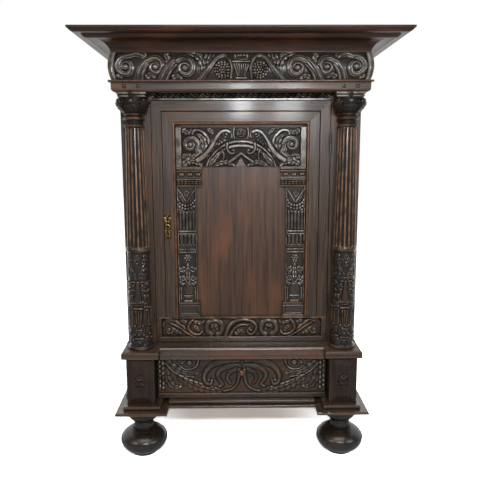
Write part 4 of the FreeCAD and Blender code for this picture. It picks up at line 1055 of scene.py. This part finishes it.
# %% [markdown]
# Each pilaster under the arch is three blocks: a moulded impost with dentils, a shaft, and a stepped
# plinth. Down the shaft come ribbons with a garland of berries, two runs of ribs, a flower, and scrolls
# over a bowl on a stem. Each block is a relief of its own, since their widths differ. The impost and
# the plinth have grain across, so they are one piece.

# %% Pilasters
PILASTER_SPLITS = (636.0, 1124.0)
IMPOST_EDGE, SHAFT_EDGE, PLINTH_EDGE, PILASTER_OUTER = 162.0, 186.0, 176.0, 264.0
PILASTER_PITCH = 1.1


def draw_impost(relief, left, right):
    """Fillets, a row of three dentils and two rows of small blocks."""
    for low, high, tall in ((0, 6, 11), (6, 16, 3), (16, 24, 4), (26, 31, 9), (31, 36, 3), (54, 60, 5),
                            (60, 66, 8), (68, 77, 11), (77, 82, 9)):
        fillet(relief, (left, right), (low, high), tall)
    for place_share in (0.2, 0.53, 0.86):
        middle = left + place_share * (right - left)
        fillet(relief, (middle - 9, middle + 9), (44, 54), 11)
    for block in np.linspace(left + 7, right - 7, 7):
        fillet(relief, (block - 4.5, block + 4.5), (8, 14), 8)
        fillet(relief, (block - 4.5, block + 4.5), (17, 24), 9)


def draw_shaft(relief):
    """Garland, ribs, mouldings, flower, scrolls and bowl; u counts from the middle of the shaft."""
    for hand in (-1, 1):
        strap(relief, flow((34 * hand, 474), (17 * hand, 448), (2 * hand, 424)), 8, 4.5)
        turn = dict(start=90 - 80 * hand, turns=-1.1 * hand, width=15, height=7)
        scroll(relief, [(3 * hand, 112), (6 * hand, 132)], (20 * hand, 142), 15, **turn)
        scroll(relief, [(4 * hand, 80), (8 * hand, 96)], (21 * hand, 103), 14, **turn)
        strap(relief, flow((30 * hand, 60), (30 * hand, 12)), 7, 4)
    flower(relief, (0, 462), 12, 4.5)
    strap(relief, arc((0, 446), 44, 190, 350), 26, 4)
    for radius, berries in ((38, 8), (50, 10)):
        for berry in arc((0, 446), radius, 205, 335, steps=berries):
            boss(relief, berry, 7, 8, cut=0.5)
    for rib in (-28, -14, 0, 14, 28):
        strap(relief, flow((rib, 312), (rib, 380)), 11, 3.4)
    for rib in (-24, -8, 8, 24):
        strap(relief, flow((rib, 250), (rib, 282)), 13, 3.4)
    flower(relief, (0, 188), 17, 4.5)
    leaf(relief, flow((0, 92), (0, 168)), 24, 6, lobes=4)
    strap(relief, flow((-34, 85), (-18, 75), (0, 73), (18, 75), (34, 85)), 17, 7)
    strap(relief, flow((0, 60), (0, 28)), 42, 4, end_width=30)
    strap(relief, flow((-16, 26), (16, 26)), 8, 6.5)
    for low, high, tall in ((232, 246, 3), (288, 294, 5), (298, 306, 6), (210, 217, 6.5), (219, 229, 5)):
        fillet(relief, (-36, 36), (low, high), tall)
    fillet(relief, (-17, 17), (0, 7), 6)


def draw_plinth(relief, left, right):
    """A stepped block with a sunk field."""
    fillet(relief, (left, right), (0, 66), 8)
    fillet(relief, (left + 10, right - 10), (16, 46), 5.5)
    for low, high, tall in ((0, 9, 11), (50, 56, 6), (56, 66, 11)):
        fillet(relief, (left, right), (low, high), tall)


def pilaster_block(side, edge, low_z, high_z, front_y, level, draw):
    """One block of a pilaster, on the left (side -1) or right (side 1)."""
    left, right = sorted((side * edge, side * PILASTER_OUTER))
    relief = Relief((left, right), (0, high_z - low_z), PILASTER_PITCH, ground=0.2 * level)
    draw(relief, left, right)
    tool_marks(relief, level)
    back_y = box_mm("pilasters")[1][1]
    return carved_board(relief, level, (left, front_y, low_z), (right, back_y, high_z), dirt_and_shade=0.5)


def draw_centred_shaft(relief, left, right):
    """Draw the shaft about its own middle, between two plain edges."""
    middle, top, margin, edge_level = (left + right) / 2, relief.v.max(), 4, 5.5
    relief.u -= middle
    draw_shaft(relief)
    relief.u += middle
    for edge in (left, right - margin):
        fillet(relief, (edge, edge + margin), (0, top), edge_level)


def carve_pilaster(name, side):
    low, high = box_mm("pilasters")
    front = low[1]
    shaft = pilaster_block(side, SHAFT_EDGE, *PILASTER_SPLITS, front + 3, 7.0, draw_centred_shaft)
    make_piece(name, [shaft], finishes["carved", "upright"], "door", "pilasters")
    blocks = [pilaster_block(side, PLINTH_EDGE, low[2], PILASTER_SPLITS[0], front, 11.0, draw_plinth),
              pilaster_block(side, IMPOST_EDGE, PILASTER_SPLITS[1], high[2], front, 11.0, draw_impost)]
    make_piece(name + "_blocks", blocks, finishes["carved_warm", "level"], "door", "pilasters")


carve_pilaster("pilaster_carving_left", -1)
carve_pilaster("pilaster_carving_right", 1)

# %% [markdown]
# A narrow strip over the door, mostly behind the architrave, is cut with a running S scroll. The
# frieze above is a cushion: its face bulges, and scrolling stems grow from an urn in the middle to a
# coil at each end. Its relief is bent over the cushion's arc, and its ends meet the side lengths in
# a mitre.

# %% Lintel and frieze
def carve_lintel():
    low, high = box_mm("lintel")
    level, period, run_half, margin, low_band, strip_top = 5.0, 48.0, 336, 12.0, 7.5, 31
    relief = Relief((low[0], high[0]), (0, high[2] - low[2]), BOARD_PITCH * 0.8)
    for middle in np.arange(-run_half, run_half + 1, period):
        strap(relief, flow((middle - 21, 13), (middle - 8, 23), (middle + 8, 12), (middle + 21, 22)), 6, 5)
        boss(relief, (middle - 11, 13), 4.5, 4.5)
        boss(relief, (middle + 11, 22), 4.5, 4.5)
    fillet(relief, (low[0], high[0]), (0, low_band), level)
    fillet(relief, (low[0], low[0] + margin), (0, strip_top), level)
    fillet(relief, (high[0] - margin, high[0]), (0, strip_top), level)
    tool_marks(relief, level)
    # The strip lies in the architrave's shade, so its ground gets no painted shade and its raised parts are
    # painted light with the pale worn tone.
    points, faces, marks = carved_board(relief, level, low, high, dirt_and_shade=0.0)
    raised = np.clip(relief.height / level, 0, 1)
    marks[:relief.height.size, 0] = np.maximum(marks[:relief.height.size, 0], 0.8 * raised.ravel())
    make_piece("lintel_carving", [(points, faces, marks)], finishes["carved", "level"], "carcase", "lintel")


def draw_frieze(relief):
    """The left half of the frieze; v counts from its lower edge."""
    leaf(relief, flow((-482, 8), (-470, 14), (-462, 2)), 18, 5, lobes=2)
    leaf(relief, flow((-392, 50), (-386, 34), (-394, 14)), 22, 5.5, lobes=3)
    scroll(relief, [(-378, 90), (-404, 97)], (-438, 48), 42, 80, 1.3, 27, 7.5)
    leaf(relief, flow((-370, 4), (-350, 18), (-330, 6)), 26, 6.5, lobes=3)
    leaf(relief, flow((-296, 96), (-282, 82), (-284, 60)), 24, 6, lobes=3)
    scroll(relief, [(-404, -4), (-384, 36), (-362, 68)], (-326, 47), 37, 140, -1.25, 28, 7.5)
    strap(relief, flow((-386, -4), (-370, 30), (-352, 56)), 7, 7.5)
    leaf(relief, flow((-270, 4), (-250, 14), (-226, 4)), 22, 6, lobes=3)
    leaf(relief, flow((-206, 98), (-170, 90), (-148, 62), (-146, 32), (-164, 8)), 32, 7, lobes=5)
    scroll(relief, [(-314, -4), (-284, 38), (-256, 70)], (-214, 44), 41, 140, -1.35, 28, 7.5)
    strap(relief, flow((-292, -4), (-268, 30), (-246, 54)), 7, 7.5)
    for lean in (-138, -124, -110):
        leaf(relief, flow((lean - 4, 52), (lean, 74), (lean + 6, 97)), 17, 6, lobes=2)
    for ring, berries in ((0, 1), (10, 6), (20, 11), (28, 15)):
        for turn in np.linspace(0, 2 * math.pi, berries, endpoint=False):
            boss(relief, (-71 + ring * math.cos(turn), 36 + ring * math.sin(turn)), 5, 7.5, cut=0.8)
    strap(relief, flow((-164, -4), (-136, 26), (-114, 54), (-94, 80), (-66, 90), (-45, 74), (-36, 44),
                       (-40, 10)), 23, 7.5, end_width=11, reeds=2)


def draw_urn(relief):
    """The fluted urn in the middle, with leaves above it."""
    for lean in (-26, -13, 0, 13, 26):
        leaf(relief, flow((0.6 * lean, 70), (lean, 96)), 15, 6, lobes=2)
    strap(relief, flow((0, 58), (0, 12)), 60, 4, end_width=34)
    for flute in range(-3, 4):
        strap(relief, flow((9 * flute, 58), (4.4 * flute, 14)), 9, 7, end_width=5, cut=1.0)
    strap(relief, flow((-32, 66), (32, 66)), 9, 7.5)
    strap(relief, flow((-18, 7), (18, 7)), 8, 6.5)


def carve_frieze():
    low, high = box_mm("frieze_front")
    level, crown, plain_end, drawn_level = 9.0, 10.0, 484, 7.5
    height, half, depth = high[2] - low[2], high[0], high[1] - low[1]
    relief = Relief((low[0], high[0]), (0, height), BOARD_PITCH * 0.9, ground=0.8)
    draw_frieze(relief)
    relief.mirror()
    draw_urn(relief)
    relief.height *= level / drawn_level
    fillet(relief, (-half, -plain_end), (0, height), level)
    fillet(relief, (plain_end, half), (0, height), level)
    tool_marks(relief, level)
    radius = (height ** 2 / 4 + crown ** 2) / (2 * crown)
    fall = radius - np.sqrt(radius ** 2 - (relief.v - height / 2) ** 2)
    sunk = fall + level - relief.height
    up = (relief.v + low[2]) * MM
    front = np.stack([relief.u * (half - sunk) / half * MM, (low[1] + sunk) * MM, up], axis=-1)
    back = np.stack([relief.u * (half - depth) / half * MM, np.full(up.shape, high[1] * MM), up], axis=-1)
    skin = shell(closed_board(front, back), wear_highlight_and_shade_marks(relief.height, level, dirt_and_shade=0.7))
    make_piece("frieze_carving", [skin], finishes["carved", "level"], "carcase", "frieze_front")


carve_lintel()
carve_frieze()

# %% [markdown]
# Two pegs stand in each end of the architrave, over the columns. Each stands in a small sunk ring, and
# its end is worn to a low dome that catches one spot of light. A dome could be a cut sphere, but a few
# rings that narrow along a quarter turn make the peg and its dome in one skin.

# %% Pegs
def carve_pegs():
    low, high = box_mm("architrave_pegs")
    radius, level = (high[2] - low[2]) / 2, (high[2] + low[2]) / 2
    spacing, dome, points = 52.5, 1.8, 24
    turn = np.linspace(0, 2 * math.pi, points, endpoint=False)[None, :]
    lean = np.radians([0, 15, 30, 45, 60, 75])
    radii = radius * np.concatenate([[1], np.cos(lean)])[:, None]
    depths = np.concatenate([[high[1]], low[1] + dome * (1 - np.sin(lean))])[:, None]
    pegs = []
    for side in (-1, 1):
        for inset in (radius, radius + spacing):
            middle = side * (high[0] - inset)
            rings = np.stack([middle + radii * np.cos(turn), depths + 0 * turn,
                              level + radii * np.sin(turn)], axis=-1) * MM
            pegs.append(shell(closed_tube(rings)))
    make_piece("peg_heads", pegs, finishes["peg", "deep"], "carcase", "architrave_pegs")


carve_pegs()

# %% [markdown]
# The lower drum of each column is carved all round with the same strapwork four times: a flower over
# a V of leaves, two scrolls like eyes, a band, and a fluted vase with beads. One quarter is drawn flat,
# repeated and wrapped round the drum between its two plain rings.

# %% Column drums
def draw_drum(relief):
    """A quarter of the drum's ornament; u counts from its middle, v from the drum's foot."""
    for hand in (-1, 1):
        leaf(relief, flow((36 * hand, 400), (32 * hand, 376), (22 * hand, 350)), 17, 5, lobes=3)
        leaf(relief, flow((38 * hand, 346), (20 * hand, 328), (1 * hand, 304)), 17, 6.5, lobes=2)
        leaf(relief, flow((38 * hand, 324), (20 * hand, 310), (2 * hand, 292)), 13, 6, lobes=2)
        strap(relief, arc((21 * hand, 272), 15, 10, 170), 8, 6.5)
        boss(relief, (21 * hand, 272), 8, 5)
        strap(relief, arc((22 * hand, 240), 13, 20, 150), 9, 7)
        boss(relief, (31 * hand, 224), 9, 7, stretch=1.4)
        leaf(relief, flow((36 * hand, 204), (31 * hand, 182), (36 * hand, 158)), 16, 6, lobes=3)
        strap(relief, flow((28 * hand, 166), (28 * hand, 98)), 8, 5)
        boss(relief, (18 * hand, 103), 8, 6.5, stretch=0.8)
        boss(relief, (21 * hand, 66), 8, 6.5, stretch=0.8)
        leaf(relief, flow((37 * hand, 62), (31 * hand, 46), (18 * hand, 24)), 17, 6, lobes=3)
        strap(relief, flow((36 * hand, 92), (33 * hand, 74)), 9, 5)
    flower(relief, (0, 384), 15, 5)
    boss(relief, (0, 360), 7, 4.5)
    strap(relief, flow((0, 282), (0, 210)), 16, 5.5, end_width=34)
    strap(relief, flow((0, 166), (0, 108)), 38, 4.5, end_width=24)
    for rib in (-11, 0, 11):
        strap(relief, flow((rib, 164), (0.6 * rib, 110)), 9, 6)
    strap(relief, flow((-18, 176), (18, 176)), 11, 7)
    strap(relief, flow((-12, 86), (12, 86)), 10, 6.5)
    boss(relief, (0, 68), 7, 6)
    strap(relief, flow((-16, 50), (16, 50)), 11, 7)
    leaf(relief, flow((0, 42), (0, 18)), 22, 5.5, lobes=3)
    fillet(relief, (-27, 27), (197, 204), 5.5)


def ring_swell(height, low, high):
    """Height of a half-round ring between two levels, 0 to 1."""
    middle, half = (low + high) / 2, (high - low) / 2
    return np.sqrt(np.clip(1 - ((height - middle) / half) ** 2, 0, 1))


def carve_drum(name):
    low, high = box_mm(name)
    level, height, ring_projection, top_ring, base_ring = 6.0, high[2] - low[2], 2.5, 18.0, 15.0
    bottom_radius, top_radius, seam_angle = 49.5, 47.0, -0.75 * math.pi
    quarter = math.pi * (bottom_radius + top_radius) / 4
    relief = Relief((-quarter / 2, quarter / 2), (0, height), 1.3, ground=3.4)
    draw_drum(relief)
    fillet(relief, (-quarter, quarter), (0, base_ring), level)
    fillet(relief, (-quarter, quarter), (height - top_ring, height), level)
    relief.height = np.tile(relief.height[:, :-1], (1, 4))
    tool_marks(relief, level)
    up = np.linspace(0, height, len(relief.height))[:, None]
    angle = seam_angle + np.linspace(0, 2 * math.pi, relief.height.shape[1], endpoint=False)[None, :]
    rings_out = ring_swell(up, 0, base_ring) + ring_swell(up, height - top_ring, height)
    radius = bottom_radius + (top_radius - bottom_radius) * up / height - level + relief.height
    radius = radius + ring_projection * rings_out
    middle = (low + high) / 2
    skin_rings = np.stack([middle[0] + radius * np.cos(angle), middle[1] + radius * np.sin(angle),
                           low[2] + up + 0 * angle], axis=-1) * MM
    marks = wear_highlight_and_shade_marks(relief.height, level, dirt_and_shade=0.7)
    marks[:, 0] = np.maximum(marks[:, 0], (rings_out ** 2 + 0 * angle).ravel())
    skin = shell(closed_tube(skin_rings), marks)
    make_piece(name + "_carving", [skin], finishes["drum", "upright"], "carcase", name)


carve_drum("column_drum_left")
carve_drum("column_drum_right")

# %% [markdown]
# Above the drum the column is fluted: sixteen round grooves with narrow fillets between. The CAD shaft
# has the same grooves. This finer skin also knows where it is a fillet and where a groove, because
# wax wore off the fillets, and the grooves are darkened with dirt and painted shade.

# %% Column shafts
FLUTES = 16
POINTS_PER_FLUTE = 24
SHAFT_RINGS = 160


def carve_shaft(name):
    low, high = box_mm(name)
    height, bottom_radius, top_radius = high[2] - low[2], 46.0, 36.5
    end, set_out, groove_bottom, groove_top = 6.0, 1.5, 6.2, 4.9
    worn_depth, dirt_and_shade_depth = 1.2, 3.0
    up = np.linspace(0, height, SHAFT_RINGS)[:, None]
    angle = np.linspace(0, 2 * math.pi, FLUTES * POINTS_PER_FLUTE, endpoint=False)[None, :]
    share = up / height
    outer = bottom_radius + (top_radius - bottom_radius) * share
    groove = groove_bottom + (groove_top - groove_bottom) * share
    turn = (angle * FLUTES / (2 * math.pi) + 0.5) % 1 - 0.5
    across = outer * turn * 2 * math.pi / FLUTES
    past_end = np.maximum(np.maximum(end - up, up - height + end), 0)
    inside = groove ** 2 - across ** 2 - past_end ** 2
    depth = np.maximum(np.sqrt(np.maximum(inside, 0)) - set_out, 0)
    radius = outer - depth
    middle = (low + high) / 2
    rings = np.stack([middle[0] + radius * np.cos(angle), middle[1] + radius * np.sin(angle),
                      low[2] + up + 0 * angle], axis=-1) * MM
    # Fillets take the worn tone; grooves are darkened for dirt and as painted shade.
    fillets, grooves = np.clip(1 - depth / worn_depth, 0, 1), np.clip(depth / dirt_and_shade_depth, 0, 1)
    marks = np.column_stack([fillets.ravel(), grooves.ravel()])
    make_piece(name + "_carving", [shell(closed_tube(rings), marks)], finishes["fluted", "upright"],
               "carcase", name)


carve_shaft("column_shaft_left")
carve_shaft("column_shaft_right")

# %% [markdown]
# A capital is a turned core under a square abacus, with acanthus leaves that bend outwards at their
# tips, a coil under each front corner and an upright petal on each side. They can't be drawn as heights,
# since they hang free, so each is a skin over rings that follow a line in the plane through the column's
# axis. The abacus and the small fruit under it are a piece of their own, since they take the pale worn
# tone: wear, and a painted highlight.

# %% Capitals
COLUMN_AXIS_Y = -175.0
CORE_POINTS = 48
RING_POINTS = 14
ABACUS_SHIFT = 5.0
SIDES = (-180, -90, 0)
LEAF_THICKNESS = (9, 5)
LEAF_LOBES = 4.5


def bent_strip(line, widths, thicknesses):
    """Rings round a line of radius and height: across (mm), radius and height of each point."""
    slope = np.gradient(line, axis=0)
    slope /= np.hypot(slope[:, 0], slope[:, 1])[:, None]
    turn = np.linspace(0, 2 * math.pi, RING_POINTS, endpoint=False)
    across = np.outer(widths / 2, np.cos(turn))
    groove = 1 - 0.5 * np.exp(-(np.cos(turn) / 0.25) ** 2)
    out = np.outer(thicknesses / 2, np.sin(turn) * groove)
    radius = line[:, :1] + out * slope[:, 1:]
    height = line[:, 1:] - out * slope[:, :1]
    return across, radius, height


def stand_round(axis, strip, degrees):
    """Stand a bent strip at an angle round an upright axis."""
    across, radius, height = strip
    angle = math.radians(degrees)
    x = axis[0] + radius * math.cos(angle) - across * math.sin(angle)
    y = axis[1] + radius * math.sin(angle) + across * math.cos(angle)
    return np.stack([x, y, height], axis=-1) * MM


def capital_leaf(axis, line, width, degrees):
    """A leaf that leans out along a line of radius and height, with lobes down its edges."""
    share = np.linspace(0, 1, len(line))
    lobes = 0.74 + 0.26 * np.abs(np.sin(math.pi * LEAF_LOBES * share))
    widths = width * np.sqrt(np.clip(1 - share ** 4, 0.02, 1)) * lobes
    thicknesses = np.linspace(*LEAF_THICKNESS, len(line))
    skin = closed_tube(stand_round(axis, bent_strip(line, widths, thicknesses), degrees))
    edge = np.abs(np.cos(np.linspace(0, 2 * math.pi, RING_POINTS, endpoint=False)))
    # Leaf tips take a little wear; the leaf's sides, most near its root, are painted in shade.
    marks = np.stack([np.outer(0.25 * share ** 2, 0 * edge + 1), np.outer(0.8 - 0.6 * share, edge)], axis=-1)
    return shell(skin, marks.reshape(-1, 2))


def capital_coil(axis, level, degrees):
    """A volute under a front corner of the abacus."""
    line = spiral((64, level), 12.5, 3, 200, -1.5)
    share = np.linspace(0, 1, len(line))
    strip = bent_strip(line, 19 - 4 * share, 9 - 3 * share)
    return shell(closed_tube(stand_round(axis, strip, degrees)))


def capital_petal(axis, top, degrees):
    """An upright petal in the middle of a side, up to the top of the abacus."""
    line = flow((50, top - 30), (56, top - 16), (59, top - 5), (55, top - 1))
    widths = 4 + 14 * np.sin(math.pi * np.linspace(0, 1, len(line)))
    petal = bent_strip(line, widths, np.full(len(line), 7.0))
    return shell(closed_tube(stand_round(axis, petal, degrees)))


def capital_boss(axis, level):
    """A small round fruit in the middle of the bell's front."""
    rings, radius, out, bulge = 9, 56, 8, 15
    share = np.linspace(-0.97, 0.97, rings)
    line = np.column_stack([radius + out * share, np.full(rings, level)])
    round_section = bulge * np.sqrt(1 - share ** 2)
    skin = closed_tube(stand_round(axis, bent_strip(line, round_section, round_section), -90))
    # The fruit takes the pale worn tone, wear and a painted highlight.
    return shell(skin, np.full((rings * RING_POINTS, 2), (0.6, 0.0)))


def capital_core(axis, base):
    """The turned core with its worn rings, from the neck up to the underside of the abacus."""
    profile = [(36.5, 0), (39.5, 3), (40.5, 7.5), (39.5, 12), (36.5, 15), (33, 15.5), (33, 29), (38, 30),
               (41.5, 33), (42, 36), (41.5, 39), (38, 41.5), (33, 42.5), (33, 48), (36.5, 49), (38, 52),
               (36.5, 55), (43, 56.5), (47, 64), (50, 72), (51, 86), (51, 115)]
    worn_rings = np.array([0.0, 0.6, 1, 0.6, 0, 0, 0, 0.5, 1, 1, 1, 0.5, 0, 0, 0.8, 1, 0.8, 0, 0, 0, 0, 0])
    # Between the worn rings the core is darkened: dirt, and painted shade under the leaves and abacus.
    dirt_and_shade = 0.7
    angle = np.linspace(0, 2 * math.pi, CORE_POINTS, endpoint=False)
    rings = [np.column_stack([axis[0] + radius * np.cos(angle), axis[1] + radius * np.sin(angle),
                              np.full(angle.shape, base + up)]) for radius, up in profile]
    marks = np.column_stack([worn_rings, dirt_and_shade * (1 - worn_rings)]).repeat(CORE_POINTS, axis=0)
    return shell(closed_tube(np.array(rings) * MM), marks)


def capital_leaves(axis, base, top):
    """Leaves on the sides, between them and on the front corners, with a coil over each corner leaf."""
    corner = flow((44, base + 60), (56, base + 69), (68, base + 82), (74, base + 92), (78, base + 88))
    side = flow((44, base + 61), (51, base + 75), (54, base + 89), (59, base + 97), (62, base + 92))
    between = flow((44, base + 61), (52, base + 71), (57, base + 81), (61, base + 77))
    leaves = [capital_leaf(axis, side, 42, degrees) for degrees in SIDES]
    leaves += [capital_leaf(axis, between, 30, degrees) for degrees in (-157.5, -112.5, -67.5, -22.5)]
    for degrees in (-135, -45):
        leaves.append(capital_leaf(axis, corner, 36, degrees))
        leaves.append(capital_coil(axis, top - 35, degrees))
    return leaves


def square_rings(middle, halves_and_heights, back_y):
    """Rings of a square moulding that runs back to a wall: each ring has a half width and a height."""
    rings = []
    for half, height in halves_and_heights:
        front = middle[1] - half + ABACUS_SHIFT
        corners = [(middle[0] - half, front), (middle[0] + half, front),
                   (middle[0] + half, back_y), (middle[0] - half, back_y)]
        rings.append([(x, y, height) for x, y in corners])
    return np.array(rings) * MM


def abacus_skin(axis, top, back_y):
    """Two light fillets with a dark groove between them."""
    abacus = [(50, top - 18), (53, top - 17.5), (53, top - 12.5), (50, top - 12), (50, top - 8),
              (56, top - 7.5), (56, top)]
    # The fillets take the pale worn tone, wear and a painted highlight; the groove is darkened, dirt and
    # painted shade.
    rubbed_and_highlit = np.array([0.0, 0.6, 0.6, 0.0, 0.0, 0.6, 0.6])
    marks = np.column_stack([rubbed_and_highlit, 0.8 * (rubbed_and_highlit == 0)]).repeat(4, axis=0)
    return shell(closed_tube(square_rings(axis, abacus, back_y)), marks)


def carve_capital(name):
    low, high = box_mm(name)
    axis, base, top = ((low[0] + high[0]) / 2, COLUMN_AXIS_Y), low[2], high[2]
    shells = [capital_core(axis, base)] + capital_leaves(axis, base, top)
    shells += [capital_petal(axis, top, degrees) for degrees in SIDES]
    make_piece(name + "_carving", shells, finishes["capital", "upright"], "carcase", name)
    light = [abacus_skin(axis, top, high[1]), capital_boss(axis, top - 33)]
    make_piece(name + "_abacus", light, finishes["carved", "level"], "carcase", name)


carve_capital("capital_left")
carve_capital("capital_right")

# %% [markdown]
# A small lion mask sits on each pedestal. Its heights come from the same formula as the keystone's,
# laid on rings that shrink towards the middle, so that its outline is an oval and not a square.

# %% Pedestal masks
def mask_skin(middle, half_width, half_height, front_y, back_y):
    """A closed mask: an oval back ring, then front rings that shrink to the middle."""
    rings, points, scallops, mark_scale, mark_level = 34, 96, 13, 10, 8.0
    spans = np.concatenate([[1.0], np.linspace(1.0, 0.02, rings)])[:, None]
    angle = np.linspace(0, 2 * math.pi, points, endpoint=False)[None, :]
    scallop = 1 + 0.05 * np.cos(scallops * angle)
    across, up = spans * np.cos(angle), spans * np.sin(angle)
    rise = mask_height(across, up)
    rise[0] = 0
    depth = back_y - (back_y - front_y) * rise / rise.max()
    skin = np.stack([middle[0] + half_width * across * scallop, depth,
                     middle[1] + half_height * up * scallop], axis=-1) * MM
    return shell(closed_tube(skin), wear_highlight_and_shade_marks(mark_scale * rise, mark_level))


def carve_masks():
    low, high = box_mm("pedestal_masks")
    half_height, middle_z = (high[2] - low[2]) / 2, (high[2] + low[2]) / 2
    half_width = 22.0
    middle_x = high[0] - half_width
    skins = [mask_skin((side * middle_x, middle_z), half_width, half_height, low[1], high[1])
             for side in (-1, 1)]
    make_piece("mask_carving", skins, finishes["capital", "upright"], "carcase", "pedestal_masks")


carve_masks()

# %% [markdown]
# The escutcheon is a cast plate with two leaves over the keyhole, a ring round it and two stems below.
# It could be modelled as a solid, but drawn as a relief its soft cast edges come free, and the brass
# finish finds the raised parts by itself.

# %% Escutcheon
def draw_escutcheon(relief):
    """Cast ornament; u counts from the plate's middle, v from its lower edge."""
    for hand in (-1, 1):
        leaf(relief, flow((11 * hand, 94), (9 * hand, 82), (2 * hand, 64)), 13, 3, lobes=2, cut=1.0)
        strap(relief, flow((5 * hand, 36), (8 * hand, 22), (7 * hand, 5)), 7, 3, cut=1.0)
        boss(relief, (10 * hand, 34), 4, 2.6, cut=0.8)
    strap(relief, arc((0, 50), 9, 100, 440), 6, 3, cut=1.0)
    boss(relief, (0, 94), 4, 2.6, cut=0.8)
    boss(relief, (0, 14), 4.5, 2.6, cut=0.8)


def carve_escutcheon():
    low, high = box_mm("escutcheon")
    middle, level, keyhole_floor = (low[0] + high[0]) / 2, 3.0, 0.4
    slot_half, slot_middle, slot_reach, eye_middle, eye_radius = 1.8, 44, 9, 52, 3.6
    half, height = (high[0] - low[0]) / 2, high[2] - low[2]
    relief = Relief((-half, half), (0, height), 0.6, ground=1.3)
    draw_escutcheon(relief)
    in_slot = (np.abs(relief.u) < slot_half) & (np.abs(relief.v - slot_middle) < slot_reach)
    in_eye = np.hypot(relief.u, relief.v - eye_middle) < eye_radius
    relief.height[in_slot | in_eye] = keyhole_floor
    relief.height = soften(relief.height)
    relief.u += middle
    make_piece("escutcheon_casting", [carved_board(relief, level, low, high)], brass, "door", "escutcheon",
               slot="brass")


carve_escutcheon()
